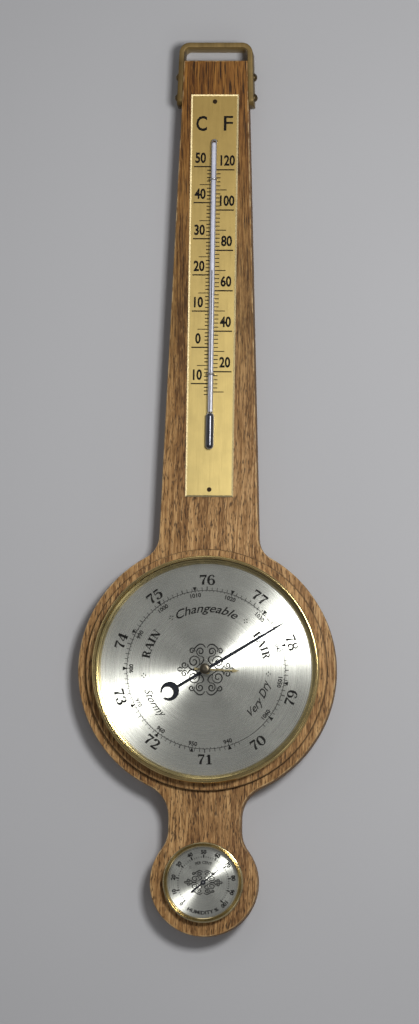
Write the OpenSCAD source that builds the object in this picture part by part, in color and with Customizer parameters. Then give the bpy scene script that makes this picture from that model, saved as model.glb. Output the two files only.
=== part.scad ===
// Wall barometer: an oak board with an aneroid movement, a thermometer and a hygrometer.
// The origin is the hanging point, under the strap's top bar and in the plane of the wall.
// +Z is up, the front faces -Y, and y = 0 is the wall. A level is a distance in front of the wall.
// Positions called up or x on a dial are taken from that dial's centre.

/* [Board] */
// Thickness of the board
board_t = 18; // [17.5:0.5:26]
// Width of the neck at its top
neck_top_w = 40.2; // [36:0.1:50]
// Width of the neck just above the large round
neck_low_w = 61; // [54:0.5:70]
// Height of that lower width above the main dial's centre
neck_low_up = 97.5; // [92:0.5:110]
// Height of the board's top above the main dial's centre
neck_up = 385.4; // [370:0.1:440]
// Width of the board around the turned ring
round_land = 5.2; // [4:0.1:14]
// Radius of the hollow curve between the neck and the large round
shoulder_r = 16; // [10:0.5:24]
// Width of the board around the hygrometer's bezel
foot_land = 8.5; // [6:0.1:12]
// Height of the waist between the two rounds
waist_h = 18; // [16:0.5:30]
// Width of the waist between the two rounds
waist_w = 45; // [40:0.5:52]
// Radius of the hollow curves at the waist
waist_r = 21; // [16:0.5:22]
// Width of the turned ring around the main bezel
ring_land = 4.5; // [2.4:0.1:6]
// Height of the turned ring above the board
ring_t = 4; // [3:0.1:6]
// Rounding of the turned ring's outer edge
ring_edge = 1; // [0.5:0.1:2.4]

/* [Strap] */
// Thickness of the hanging strap
strap_t = 3.2; // [1.5:0.1:4]
// Width of the strap, front to back
strap_w = 17.4; // [12:0.1:17.6]
// Gap between the strap's top bar and the board
strap_gap = 8.3; // [6:0.1:12]
// Outer radius of the strap's bends
strap_bend = 6.5; // [4:0.1:9]
// Length of the legs below the board's top
strap_leg = 28.2; // [27:0.1:40]
// Depth of the first screw below the board's top
strap_screw_drop = 9.3; // [8:0.1:12]
// Distance between the two screws of a leg
strap_screw_pitch = 13; // [10:0.1:14]
// Radius of the strap screws' shank
strap_shank_r = 1.6; // [1.2:0.1:2]
// Radius of the strap screws' domed head
strap_head_r = 2.8; // [2.3:0.1:3.2]
// Height of that head
strap_head_h = 2.2; // [1.2:0.1:2.4]
// Length of the strap screws under the head
strap_screw_len = 13; // [10:0.5:16]

/* [Thermometer] */
// Width of the thermometer's plate
scale_w = 30; // [26:0.5:34]
// Height of the thermometer's plate
scale_h = 255; // [240:1:262]
// Thickness of the thermometer's plate
scale_t = 1.2; // [0.8:0.1:1.6]
// Depth of the plate's top below the board's top
scale_drop = 22; // [18:0.1:26]
// Distance of the two pins from the plate's ends
pin_inset = 4.6; // [3.5:0.1:7]
// Radius of the pins' head
pin_head_r = 1.4; // [0.9:0.1:1.8]
// Radius of the pins' shank
pin_r = 0.7; // [0.5:0.05:0.9]
// Length of the pins
pin_len = 10; // [7:0.5:13]
// Depth of the tube's top below the plate's top
tube_drop = 30.3; // [26:0.1:36]
// Depth of the bulb's lower end below the plate's top
bulb_drop = 225.3; // [212:0.1:228]
// Radius of the glass tube
tube_r = 1.75; // [1.2:0.05:2]
// Radius of the bulb
bulb_r = 2.6; // [2.3:0.1:3.4]
// Length of the bulb
bulb_len = 20.5; // [14:0.5:26]
// Radius of the tube's fine bore
capillary_r = 0.35; // [0.25:0.05:0.5]
// Wall of the bulb
bulb_wall = 0.5; // [0.4:0.05:0.8]
// Height of the liquid thread's end above the bulb's lower end
thread_up = 113; // [40:1:160]
// Depth of the upper staple below the plate's top
staple_drop = 54.6; // [45:0.1:60]
// Distance between the two staples
staple_pitch = 123.3; // [110:0.1:130]
// Radius of the staples' wire
staple_wire_r = 0.45; // [0.25:0.05:0.5]

/* [Main dial] */
// Outer radius of the bezel
bezel_r = 70.8; // [69.7:0.1:72]
// Wall of the bezel
bezel_wall = 1; // [0.8:0.05:1.4]
// Width of the bezel's front lip
bezel_lip_w = 2; // [1.7:0.1:2.8]
// Thickness of the bezel's front lip
bezel_lip_t = 1.1; // [0.8:0.1:1.6]
// Width of the sloping ring between the bezel's lip and the dial
sight_w = 2.9; // [2:0.1:5]
// Thickness of the dial
dial_t = 0.7; // [0.5:0.05:1]
// Radius of the hole at the dial's centre
dial_hole_r = 3; // [2.6:0.1:4]
// Room between the dial and the glass
hand_room = 3.7; // [3.6:0.1:5]
// Thickness of the glass
glass_t = 1.8; // [1.6:0.1:3]
// Outer radius of the movement's case
case_r = 56; // [55.5:0.5:60]
// Depth of the case behind the turned ring's front
case_depth = 20.5; // [20.3:0.1:20.7]
// Thickness of the case's sheet
sheet_t = 0.8; // [0.7:0.05:0.9]
// Length of the case's screws
case_screw_len = 12; // [9:0.5:15]

/* [Hands] */
// Length of the reading hand from its centre to its tip
hand_len = 58.5; // [50:0.1:60]
// Width of the reading hand at its middle
hand_w = 1.9; // [1.2:0.1:2.4]
// Length of the reading hand's pointed tip
hand_tip = 6; // [3:0.5:12]
// Width of the reading hand where that tip begins
hand_tip_w = 1; // [0.4:0.05:1.2]
// Direction of the reading hand, clockwise from the top
hand_at = 58.5; // [-150:0.5:100]
// Distance of the crescent's centre from the hand's centre
moon_out = 26; // [20:0.1:30]
// Outer radius of the crescent
moon_r = 5.8; // [4.5:0.1:7]
// Radius of the crescent's round opening
moon_hole_r = 3.6; // [2.8:0.1:4]
// Shift of that opening away from the centre
moon_shift = 1.5; // [1:0.1:1.9]
// Thickness of the hands
hand_t = 0.4; // [0.3:0.05:0.5]
// Length of the set hand
set_len = 21; // [16:0.5:40]
// Length of the set hand's tail
set_tail = 7; // [5:0.5:12]
// Direction of the set hand, clockwise from the top
set_at = 92; // [-180:1:180]
// Radius of the set hand's knob
knob_r = 3.4; // [3:0.1:6]
// Height of the knob in front of the glass
knob_h = 4.6; // [3.5:0.1:7]
// Radius of the knob's spindle
spindle_r = 1.2; // [1:0.05:1.6]

/* [Movement] */
// Gap between the movement's base plate and the case's wall
base_play = 2.2; // [1.2:0.1:2.2]
// Thickness of the base plate
base_t = 1.6; // [1.2:0.1:1.7]
// Capsule's centre above the dial's centre
capsule_up = -16; // [-17:0.5:-15.5]
// Radius of the capsule
capsule_r = 22; // [18:0.5:22.5]
// Height of the capsule's corrugated body
capsule_h = 7.2; // [5:0.1:7.4]
// Height of the capsule's foot
capsule_foot = 1.5; // [1.2:0.1:1.8]
// Width of the mainspring
spring_w = 12; // [9:0.5:13]
// Thickness of the mainspring
spring_t = 0.8; // [0.6:0.05:0.9]
// Gap between the mainspring's two leaves
leaf_gap = 5.2; // [5:0.1:5.6]
// Distance of the mainspring's bow from the base plate's edge
bow_inset = 9; // [8:0.5:10]
// Gap between the capsule and the mainspring's block
capsule_gap = 2; // [1.5:0.5:3]
// Height of the block under the mainspring
block_h = 5.4; // [5.2:0.1:5.6]
// Length of that block
block_len = 10; // [8:0.5:10]
// Thickness of the main lever
lever_t = 0.8; // [0.6:0.05:1]
// Width of the main lever over the capsule
lever_w = 8; // [6:0.5:9]
// Width of the main lever at its tip
lever_tip_w = 3; // [2.8:0.1:4]
// Rocking shaft to the right of the dial's centre
shaft_x = 36; // [34:0.5:37]
// Radius of the rocking shaft
shaft_r = 1.2; // [1:0.05:1.5]
// Height of the rocking shaft in front of the base plate
shaft_h = 6.4; // [6:0.1:6.6]
// Throw of the rocking shaft's crank
crank_r = 3; // [2.8:0.1:3.4]
// Length of the rocking shaft's chain arm
arm_len = 9; // [8.8:0.1:9.2]
// Height of the lower cock in front of the base plate
cock_h = 9.6; // [9.2:0.1:9.8]
// Length of the upper pillars between the two cocks
cage_h = 5.8; // [5.7:0.1:5.9]
// Thickness of the cocks
cock_t = 1.2; // [1:0.05:1.3]
// Width of the cocks
cock_w = 14; // [12:0.5:15]
// Radius of the pillars
pillar_r = 2.5; // [2:0.1:3]
// Lower pillar above the dial's centre
pillar_up = 14; // [13:0.5:15]
// Distance between the two pillars
pillar_pitch = 14; // [12:0.5:16]
// Radius of the chain's drum
drum_r = 0.8; // [0.7:0.05:1]
// Height of the chain's links
chain_h = 0.7; // [0.5:0.05:0.8]
// Pitch of the chain's links
chain_pitch = 1.5; // [1.2:0.1:2]
// Radius of the pointer arbor at its upper bearing
arbor_r = 0.9; // [0.7:0.05:1]
// Number of turns of the hairspring
hair_turns = 5; // [3:1:6]
// Inner radius of the hairspring
hair_in_r = 1.9; // [1.8:0.1:2.2]
// Outer radius of the hairspring
hair_out_r = 6.6; // [6:0.1:7.2]
// Thickness of the hairspring's strip
hair_t = 0.2; // [0.15:0.05:0.25]
// Radius of the adjusting screw
adjuster_r = 2; // [1.5:0.1:2.2]

/* [Hygrometer] */
// Outer radius of the hygrometer's bezel
small_bezel_r = 25; // [24.5:0.1:27]
// Width of the hygrometer's bezel in front of the dial
small_lip_w = 3; // [2.6:0.1:4.5]
// Height of the hygrometer's bezel above the board
small_bezel_h = 5.8; // [5.4:0.1:7]
// Thickness of the hygrometer's glass
small_glass_t = 1.2; // [1:0.1:1.4]
// Width of the flange of the hygrometer's case
small_flange_w = 3.7; // [3.2:0.1:4.7]
// Depth of the hygrometer's case behind the board's front
small_case_depth = 13; // [12.6:0.1:15]
// Length of the hygrometer's hand
small_hand_len = 13.4; // [11:0.1:18]
// Length of the hygrometer hand's tail
small_hand_tail = 9.4; // [6:0.1:10]
// Direction of the hygrometer's hand, clockwise from the top
small_hand_at = 49.8; // [-130:0.1:130]
// Number of turns of the hygrometer's coil
coil_turns = 5; // [3:1:6]
// Outer radius of the hygrometer's coil
coil_out_r = 8.5; // [7.5:0.1:9]
// Thickness of the coil's strip
coil_t = 0.35; // [0.25:0.05:0.45]
// Width of the coil's strip
coil_w = 4; // [3:0.1:4.4]

/* [Fits] */
// Running clearance on the radius of a pivot
run = 0.05; // [0.03:0.01:0.08]
// Clearance on the radius of a fixed pin or screw
fit = 0.03; // [0.02:0.01:0.05]
// Clearance on the radius of a case in the board
seat = 0.3; // [0.2:0.05:0.5]

/* [Hidden] */
$fn = 72;

// Radii of the ring, the bezels and the two rounds, each from the one inside it
ring_r = bezel_r + ring_land;
round_r = ring_r + round_land;
foot_r = small_bezel_r + foot_land;
dial_pitch = round_r + waist_h + foot_r;
bezel_lip_r = bezel_r - bezel_lip_w;
dial_view_r = bezel_lip_r - sight_w;
small_view_r = small_bezel_r - small_lip_w;

// Heights above the hanging point
board_top = -strap_gap;
main_z = board_top - neck_up;
small_z = main_z - dial_pitch;

// The neck's sides lean by this angle
neck_lean = atan((neck_low_w - neck_top_w) / 2 / (neck_up - neck_low_up));

// Levels of the main dial, in front of the wall
ring_front = board_t + ring_t;
case_back = ring_front - case_depth;
case_floor = case_back + sheet_t;
flange_front = ring_front + sheet_t;
dial_front = flange_front + dial_t;
glass_back = dial_front + hand_room;
glass_front = glass_back + glass_t;
bezel_front = glass_front + bezel_lip_t;
bezel_in_r = bezel_r - bezel_wall;
inner_r = bezel_in_r - 0.1;
case_screw_pcr = (case_r + seat + inner_r) / 2;

// Levels of the hands
hand_level = dial_front + 0.9;
set_level = glass_back - 1;
boss_h = 0.9;
boss_r = 2.4;
set_boss_r = 2.2;
small_boss_r = 1.5;
hand_stem_w = 1.7;

// Levels and places of the movement
base_front = case_floor + base_t;
block_front = base_front + block_h;
leaf_back = block_front + spring_t + leaf_gap;
leaf_front = leaf_back + spring_t;
lever_front = leaf_front + lever_t;
cock_back = base_front + cock_h;
cock_front = cock_back + cock_t;
upper_back = cock_front + cage_h;
upper_front = upper_back + cock_t;
shaft_level = base_front + shaft_h;
chain_level = shaft_level + arm_len;
chain_gap = 0.1;
chain_up = drum_r + chain_gap + chain_h / 2;
link_t = 0.6;
pin_of_crank_r = 0.45;
shaft_low_up = capsule_up - 9;
shaft_high_up = chain_up + 5;
shaft_cock_t = 1.4;
shaft_pivot_r = 0.5;
base_r = case_r - sheet_t - base_play;
bow_x = base_r - bow_inset;
block_mid_x = -bow_x + block_len / 2 - 2;
capsule_x = block_mid_x + block_len / 2 + capsule_gap + capsule_r;

// Levels of the hygrometer
small_sheet = 0.5;
small_flange_front = board_t + small_sheet;
small_dial_t = 0.6;
small_dial_front = small_flange_front + small_dial_t;
small_bezel_front = board_t + small_bezel_h;
small_lip_t = 0.8;
small_glass_front = small_bezel_front - small_lip_t;
small_glass_back = small_glass_front - small_glass_t;
small_in_r = small_bezel_r - 0.7;
small_inner_r = small_in_r - 0.1;
small_case_r = small_inner_r - small_flange_w;
small_case_back = board_t - small_case_depth;
bridge_back = small_case_back + small_sheet + 2;
bridge_t = 1;
small_arbor_r = 0.6;
small_pivot_r = 0.4;
small_collet_r = 1.8;
coil_back = bridge_back + bridge_t + 2;
small_hand_level = small_dial_front + 0.9;
post_r = 0.7;
post_x = coil_out_r + coil_t / 2 + post_r + 0.02;

// Points of an arc from angle a0 to a1
function arc(x, y, r, a0, a1, n) = [for (i = [0:n]) let (a = a0 + (a1 - a0) * i / n) [x + r * cos(a), y + r * sin(a)]];
function mirrored(points) = [for (i = [len(points) - 1:-1:0]) [-points[i].x, points[i].y]];
function symmetric(points) = concat(points, mirrored(points));
function symmetric_back(points) = let (all = symmetric(points)) [for (i = [len(all) - 1:-1:0]) all[i]];

// Stands a drawing in x and z up, with its thickness between two levels
module upright(back, front) {
    translate([0, -back, 0]) rotate([90, 0, 0]) linear_extrude(front - back) children();
}

// Turns a profile of [radius, level] about an axis that faces the front
module turned() {
    rotate([90, 0, 0]) rotate_extrude() children();
}

module rod(r, back, front) {
    translate([0, -back, 0]) rotate([90, 0, 0]) cylinder(r = r, h = front - back);
}

module pipe(r_out, r_in, back, front) {
    difference() {
        rod(r_out, back, front);
        rod(r_in, back - 1, front + 1);
    }
}

module at_main(x = 0, up = 0) {
    translate([x, 0, main_z + up]) children();
}

module at_small(x = 0, up = 0) {
    translate([x, 0, small_z + up]) children();
}

// A clockwise direction on a dial
module clockwise(angle) {
    rotate([0, angle, 0]) children();
}

// The board's outline, with the main dial's centre at 0
neck_side = [neck_top_w / 2, neck_up];
neck_out = [cos(neck_lean), sin(neck_lean)];
neck_down = [sin(neck_lean), -cos(neck_lean)];
shoulder_start = neck_side + neck_out * shoulder_r;
shoulder_dot = shoulder_start * neck_down;
shoulder_run = -shoulder_dot - sqrt(pow(shoulder_dot, 2) - shoulder_start * shoulder_start + pow(round_r + shoulder_r, 2));
shoulder_c = shoulder_start + neck_down * shoulder_run;
shoulder_end = atan2(shoulder_c.y, shoulder_c.x);
waist_x = waist_w / 2 + waist_r;
waist_high = -sqrt(pow(round_r + waist_r, 2) - pow(waist_x, 2));
waist_low = -dial_pitch + sqrt(pow(foot_r + waist_r, 2) - pow(waist_x, 2));
waist_end = atan2(waist_high, waist_x);
foot_start = atan2(waist_low + dial_pitch, waist_x);

function board_outline() = symmetric(concat(
    [neck_side],
    arc(shoulder_c.x, shoulder_c.y, shoulder_r, 180 + neck_lean, 180 + shoulder_end, 8),
    arc(0, 0, round_r, shoulder_end, waist_end, 36),
    arc(waist_x, waist_high, waist_r, 180 + waist_end, 180, 8),
    arc(waist_x, waist_low, waist_r, 180, 180 + foot_start, 8),
    arc(0, -dial_pitch, foot_r, foot_start, -90 + 4, 20)
));

// Half width of the neck at a depth below the board's top
function neck_half(drop) = neck_top_w / 2 + drop * tan(neck_lean);

module backboard() color("#96672f") difference() {
    at_main() upright(0, board_t) polygon(board_outline());
    at_main() rod(case_r + seat, -1, board_t + 1);
    at_small() rod(small_case_r + seat, -1, board_t + 1);
    at_case_screws() rod(screw_core_r + fit, flange_front - case_screw_len, board_t + 1);
    at_strap_screws() translate([0, 0, -strap_screw_len]) cylinder(r = strap_shank_r + fit, h = strap_screw_len + 2);
    at_pins() rod(pin_r + fit, board_t + scale_t - pin_len, board_t + 1);
    at_staples() staple_legs(fit);
    at_tube_top() rod(tube_r + tube_play, tube_end_level, board_t + 1);
}

ring_foot = 1;

module dial_ring() color("#96672f") at_main() difference() {
    turned() polygon(concat(
        [[case_r + seat, ring_front], [case_r + seat, board_t], [ring_r - ring_foot, board_t],
         [ring_r, board_t + ring_foot]],
        arc(ring_r - ring_edge, ring_front - ring_edge, ring_edge, 0, 90, 8)
    ));
    translate([0, 0, -main_z]) at_case_screws() rod(screw_core_r + fit, board_t - 1, ring_front + 1);
}

// The strap's outer side or, with grow 0, its inner side, up to the height top
function strap_side(grow, bend, top) =
    let (c_z = top - bend, c_x = neck_half(board_top - c_z) + (grow - bend) / cos(neck_lean))
    concat(
        [[neck_half(strap_leg) + grow / cos(neck_lean), board_top - strap_leg]],
        arc(c_x, c_z, bend, neck_lean, 90, 8)
    );

strap_back = (board_t - strap_w) / 2;
strap_mid = board_t / 2;
strap_corner = 3;

module hanging_strap() color("#b08d4a") difference() {
    upright(strap_back, strap_back + strap_w) polygon(concat(
        symmetric(strap_side(strap_t, strap_bend, strap_t)),
        symmetric_back(strap_side(0, strap_bend - strap_t, 0))
    ));
    at_strap_screws() translate([0, 0, -strap_t - 1]) cylinder(r = strap_shank_r + fit, h = strap_t + 2);
    for (side = [-1, 1], edge = [-1, 1])
        translate([side * neck_half(strap_leg), -strap_mid + edge * strap_w / 2, board_top - strap_leg])
            rotate([45, 0, 0]) cube([4 * strap_t, strap_corner, strap_corner], center = true);
}

// Each strap screw's place on the strap's outer face, with its axis along +Z
module at_strap_screws() {
    for (side = [0, 1], i = [0, 1]) {
        drop = strap_screw_drop + i * strap_screw_pitch;
        mirror([side, 0, 0])
            translate([neck_half(drop) + strap_t / cos(neck_lean), -strap_mid, board_top - drop])
                rotate([0, 90 - neck_lean, 0]) children();
    }
}

// A domed, slotted head over a shank that ends in a point
module wood_screw(head_r, head_h, shank_r, length) {
    dome_r = (pow(head_r, 2) + pow(head_h, 2)) / 2 / head_h;
    half = asin(head_r / dome_r);
    difference() {
        rotate_extrude() polygon(concat(
            [[0, 0.02], [head_r, 0.02]],
            [for (i = [1:8]) let (a = half * (1 - i / 8)) [dome_r * sin(a), head_h - dome_r * (1 - cos(a))]]
        ));
        translate([0, 0, head_h]) cube([3 * head_r, 0.18 * head_r * 2, head_h], center = true);
    }
    rotate_extrude() polygon([[0, 0.05], [shank_r, 0.05], [shank_r, 2 * shank_r - length], [0, -length]]);
}

module strap_screws() color("#6b5a33") at_strap_screws()
    wood_screw(strap_head_r, strap_head_h, strap_shank_r, strap_screw_len);

// The thermometer's plate and what it carries
plate_top = board_top - scale_drop;
tube_top = plate_top - tube_drop;
bulb_low = plate_top - bulb_drop;
scale_front = board_t + scale_t;
tube_level = scale_front + bulb_r + 0.02;
tube_bend = tube_r + 0.6;
tube_play = 0.2;
tube_depth = 3;
tube_end_level = board_t - tube_depth;
bulb_cone = 0.6;
fill_play = 0.01;
staple_level = tube_level;
staple_in_r = tube_r + 0.05;
staple_mid_r = staple_in_r + staple_wire_r;
staple_depth = 7;
scale_bevel = 1;
scale_bevel_t = 0.7;

module at_pins() {
    for (z = [plate_top - pin_inset, plate_top - scale_h + pin_inset]) translate([0, 0, z]) children();
}

module at_staples() {
    for (i = [0, 1]) translate([0, 0, plate_top - staple_drop - i * staple_pitch]) children();
}

module at_tube_top() {
    translate([0, 0, tube_top]) children();
}

module staple_legs(clear) {
    for (side = [-1, 1])
        translate([side * staple_mid_r, 0, 0]) rod(staple_wire_r + clear, scale_front - staple_depth, staple_level);
}

// A plate's side view between two ends, with its front edges bevelled
function bevelled(low, high) = [
    [low, -board_t], [high, -board_t], [high, scale_bevel_t - scale_front], [high - scale_bevel, -scale_front],
    [low + scale_bevel, -scale_front], [low, scale_bevel_t - scale_front]
];
function swapped(points) = [for (i = [len(points) - 1:-1:0]) [points[i].y, points[i].x]];

module thermometer_plate() color("#c9a85a") difference() {
    intersection() {
        translate([0, 0, plate_top - scale_h]) linear_extrude(scale_h) polygon(bevelled(-scale_w / 2, scale_w / 2));
        translate([-scale_w / 2, 0, 0]) rotate([90, 0, 90]) linear_extrude(scale_w)
            polygon(swapped(bevelled(plate_top - scale_h, plate_top)));
    }
    at_pins() rod(pin_r + fit, board_t - 1, scale_front + 1);
    at_pins() rod(pin_head_r + fit, scale_front - 0.4, scale_front + 1);
    at_staples() staple_legs(fit);
    at_tube_top() rod(tube_r + tube_play, board_t - 1, scale_front + 1);
}

module plate_pins() color("#3b3120") at_pins() {
    rod(pin_r, board_t + scale_t - pin_len + 0.2, scale_front - 0.2);
    rod(pin_head_r, scale_front - 0.38, scale_front - 0.05);
}

// The tube's outside, a bulb below and a bend through the plate at the top
module tube_outside() {
    neck_z = bulb_low + bulb_len;
    translate([0, -tube_level, 0]) rotate_extrude() polygon(concat(
        arc(0, bulb_low + bulb_r, bulb_r, -90, 0, 8),
        arc(0, neck_z, bulb_r, 0, 50, 6),
        [[tube_r, neck_z + bulb_r + bulb_cone], [tube_r, tube_top - tube_bend], [0, tube_top - tube_bend]]
    ));
    translate([0, tube_bend - tube_level, tube_top - tube_bend]) rotate([0, -90, 0]) rotate([0, 0, 270])
        rotate_extrude(angle = 90) translate([tube_bend, 0]) circle(r = tube_r);
    translate([0, 0, tube_top]) rod(tube_r, tube_end_level + 0.3, tube_level - tube_bend);
}

module fill_shape(grow) {
    in_r = bulb_r - bulb_wall + grow;
    neck_z = bulb_low + bulb_len;
    translate([0, -tube_level, 0]) rotate_extrude() polygon(concat(
        arc(0, bulb_low + bulb_r, in_r, -90, 0, 8),
        arc(0, neck_z, in_r, 0, 70, 6),
        [[capillary_r + grow, neck_z + bulb_r + 0.4], [capillary_r + grow, bulb_low + thread_up + grow],
         [0, bulb_low + thread_up + grow]]
    ));
}

module thermometer_tube() color("#dcdbe6", 0.6) difference() {
    tube_outside();
    fill_shape(fill_play);
    translate([0, -tube_level, bulb_low + thread_up - 1])
        cylinder(r = capillary_r + fill_play, h = tube_top - 2 * tube_bend - bulb_low - thread_up);
}

module thermometer_fill() color("#8d8f96") fill_shape(0);

module tube_staples() color("#b9bcc2") at_staples() {
    translate([0, -staple_level, 0]) rotate([0, 0, 180])
        rotate_extrude(angle = 180) translate([staple_mid_r, 0]) circle(r = staple_wire_r, $fn = 16);
    staple_legs(0);
}

// The main dial's case, dial, ring, bezel and glass
screw_core_r = 1.2;
base_screw_r = 1.2;
base_screw_pcr = base_r - 11;
base_screw_head_r = 2.3;
adjuster_room = 0.8;

module at_case_screws() {
    for (i = [0:2]) at_main(case_screw_pcr * sin(120 * i), case_screw_pcr * cos(120 * i)) children();
}

module at_base_screws() {
    for (i = [0:2]) at_main(base_screw_pcr * sin(60 + 120 * i), base_screw_pcr * cos(60 + 120 * i)) children();
}

module movement_case() color("#a8a69c") difference() {
    at_main() turned() polygon([
        [0, case_back], [case_r - 1, case_back], [case_r, case_back + 1], [case_r, ring_front], [inner_r, ring_front],
        [inner_r, flange_front], [case_r - sheet_t, flange_front], [case_r - sheet_t, case_floor], [0, case_floor]
    ]);
    at_case_screws() countersink(flange_front + 0.01);
    at_base_screws() rod(base_screw_r + fit, case_back - 1, case_floor + 1);
    at_main(block_mid_x, capsule_up) rod(adjuster_r + adjuster_room, case_back - 1, case_floor + 1);
}

module countersink(front) {
    rod(screw_core_r + fit, front - 3, front + 1);
    translate([0, sheet_t - front, 0]) rotate([90, 0, 0])
        cylinder(r1 = screw_core_r + fit, r2 = screw_core_r + sheet_t + 0.2, h = sheet_t + 0.1);
}

module case_screws() color("#8c8a84") at_case_screws() translate([0, -flange_front, 0]) rotate([90, 0, 0]) difference() {
    rotate_extrude() polygon([
        [0, -0.05], [screw_core_r + sheet_t - 0.1, -0.05], [screw_core_r, -sheet_t + 0.02],
        [screw_core_r, 2 - case_screw_len], [0, 0.3 - case_screw_len]
    ]);
    cube([6, 0.5, 0.8], center = true);
}

module dial_plate() color("#cfcdc4") at_main() pipe(inner_r - 0.3, dial_hole_r, flange_front, dial_front);

module sight_ring() color("#c9a24a") at_main() turned() polygon(concat(
    [[dial_view_r, dial_front], [inner_r, dial_front], [inner_r, glass_back], [bezel_lip_r + 0.1, glass_back]],
    [for (i = [1:6]) let (t = i / 7)
        [bezel_lip_r + 0.1 + (dial_view_r - bezel_lip_r) * (1 - pow(1 - t, 1.6)),
         glass_back - (hand_room - 0.5) * pow(t, 1.3)]],
    [[dial_view_r, dial_front + 0.4]]
));

module bezel() color("#cda64e") at_main() turned() polygon(concat(
    [[bezel_in_r, glass_front + 0.02], [bezel_in_r, ring_front], [bezel_r, ring_front], [bezel_r, ring_front + 1.2],
     [bezel_r - 0.4, ring_front + 1.6], [bezel_r - 0.4, bezel_front - 2.2], [bezel_r, bezel_front - 1.8]],
    arc(bezel_r - 1, bezel_front - 1, 1, 0, 90, 8),
    [[bezel_lip_r + 0.5, bezel_front - 0.25], [bezel_lip_r, bezel_front - 0.6], [bezel_lip_r, glass_front + 0.02]]
));

module dial_glass() color("#e8f0f0", 0.3) at_main() pipe(inner_r, spindle_r + run, glass_back, glass_front);

// The reading hand lies along +Z before it is turned to its place
module reading_hand() color("#23262d") at_main() clockwise(hand_at) difference() {
    union() {
        upright(hand_level, hand_level + hand_t) {
            polygon([
                [-hand_w / 2, 0], [-hand_w / 2, hand_len * 0.45], [-hand_tip_w / 2, hand_len - hand_tip], [0, hand_len],
                [hand_tip_w / 2, hand_len - hand_tip], [hand_w / 2, hand_len * 0.45], [hand_w / 2, 0],
                [hand_stem_w / 2, -moon_out + moon_r - 0.5], [-hand_stem_w / 2, -moon_out + moon_r - 0.5]
            ]);
            translate([0, -moon_out]) difference() {
                circle(r = moon_r);
                translate([0, -moon_shift]) circle(r = moon_hole_r);
                translate([0, -moon_r]) square([moon_hole_r, 2 * (moon_r - moon_hole_r)], center = true);
            }
        }
        rod(boss_r, hand_level - 0.2, hand_level + boss_h);
    }
    rod(arbor_r + 0.01, hand_level - 1, hand_level + 3);
}

module set_hand() color("#b58e3c") at_main() clockwise(set_at) difference() {
    union() {
        upright(set_level, set_level + hand_t) polygon([
            [-0.5, 0], [-0.45, set_len - 4.5], [-1.1, set_len - 4], [0, set_len], [1.1, set_len - 4], [0.45, set_len - 4.5],
            [0.5, 0], [0.5, -set_tail + 1.6], [0.9, -set_tail], [-0.9, -set_tail], [-0.5, -set_tail + 1.6]
        ]);
        rod(set_boss_r, set_level, set_level + hand_t);
    }
    rod(spindle_r + 0.01, set_level - 1, set_level + 3);
}

washer_t = 0.3;
knob_teeth = 24;
tooth_h = 0.25;
knob_foot = glass_front + washer_t + 0.05;
knob_waist = knob_foot + 1.1;
knob_front = glass_front + knob_h;
knob_dome = 0.6;

// The spindle and the foot, a milled band, and a low dome in front
module set_knob() color("#8a7434") at_main() {
    rod(spindle_r, set_level - 0.25, knob_waist + 1);
    rod(spindle_r + 0.5, set_level - 0.25, set_level - 0.02);
    rod(knob_r * 0.55, knob_foot, knob_waist);
    upright(knob_waist, knob_front - knob_dome) polygon([
        for (i = [0:2 * knob_teeth - 1])
            let (a = 180 * i / knob_teeth, r = knob_r - (i % 2) * tooth_h) [r * cos(a), r * sin(a)]
    ]);
    turned() polygon([
        [0, knob_waist + 1], [knob_r - 0.4, knob_waist + 1], [knob_r - 0.4, knob_front - knob_dome],
        [knob_r - 0.9, knob_front - 0.2], [knob_r * 0.4, knob_front], [0, knob_front]
    ]);
}

module knob_washer() color("#d8cfae") at_main() pipe(knob_r * 0.62, spindle_r + run, glass_front, glass_front + washer_t);

// The movement, from the base plate to the hairspring
base_holes = [[24, 34, 5], [-24, 34, 5], [20, -38, 4]];

module base_plate() color("#b9b4a4") difference() {
    at_main() rod(base_r, case_floor, base_front);
    at_base_screws() rod(base_screw_r + fit, case_floor - 1, base_front + 1);
    at_main(block_mid_x, capsule_up) rod(adjuster_r + run, case_floor - 1, base_front + 1);
    for (hole = base_holes) at_main(hole.x, hole.y) rod(hole.z, case_floor - 1, base_front + 1);
}

module base_screws() color("#8c8a84") at_base_screws() difference() {
    union() {
        rod(base_screw_r, case_back - 0.1, base_front - 0.1);
        rod(base_screw_head_r, case_back - 0.8, case_back - 0.02);
    }
    translate([0, -case_back + 0.8, 0]) cube([3 * base_screw_head_r, 0.8, 0.6], center = true);
}

capsule_foot_r = 4;
capsule_boss_r = 2.5;
capsule_pin_r = 1.2;
capsule_rim_h = 0.8;
nut_r = 2.4;
nut_h = 1.2;

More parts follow.
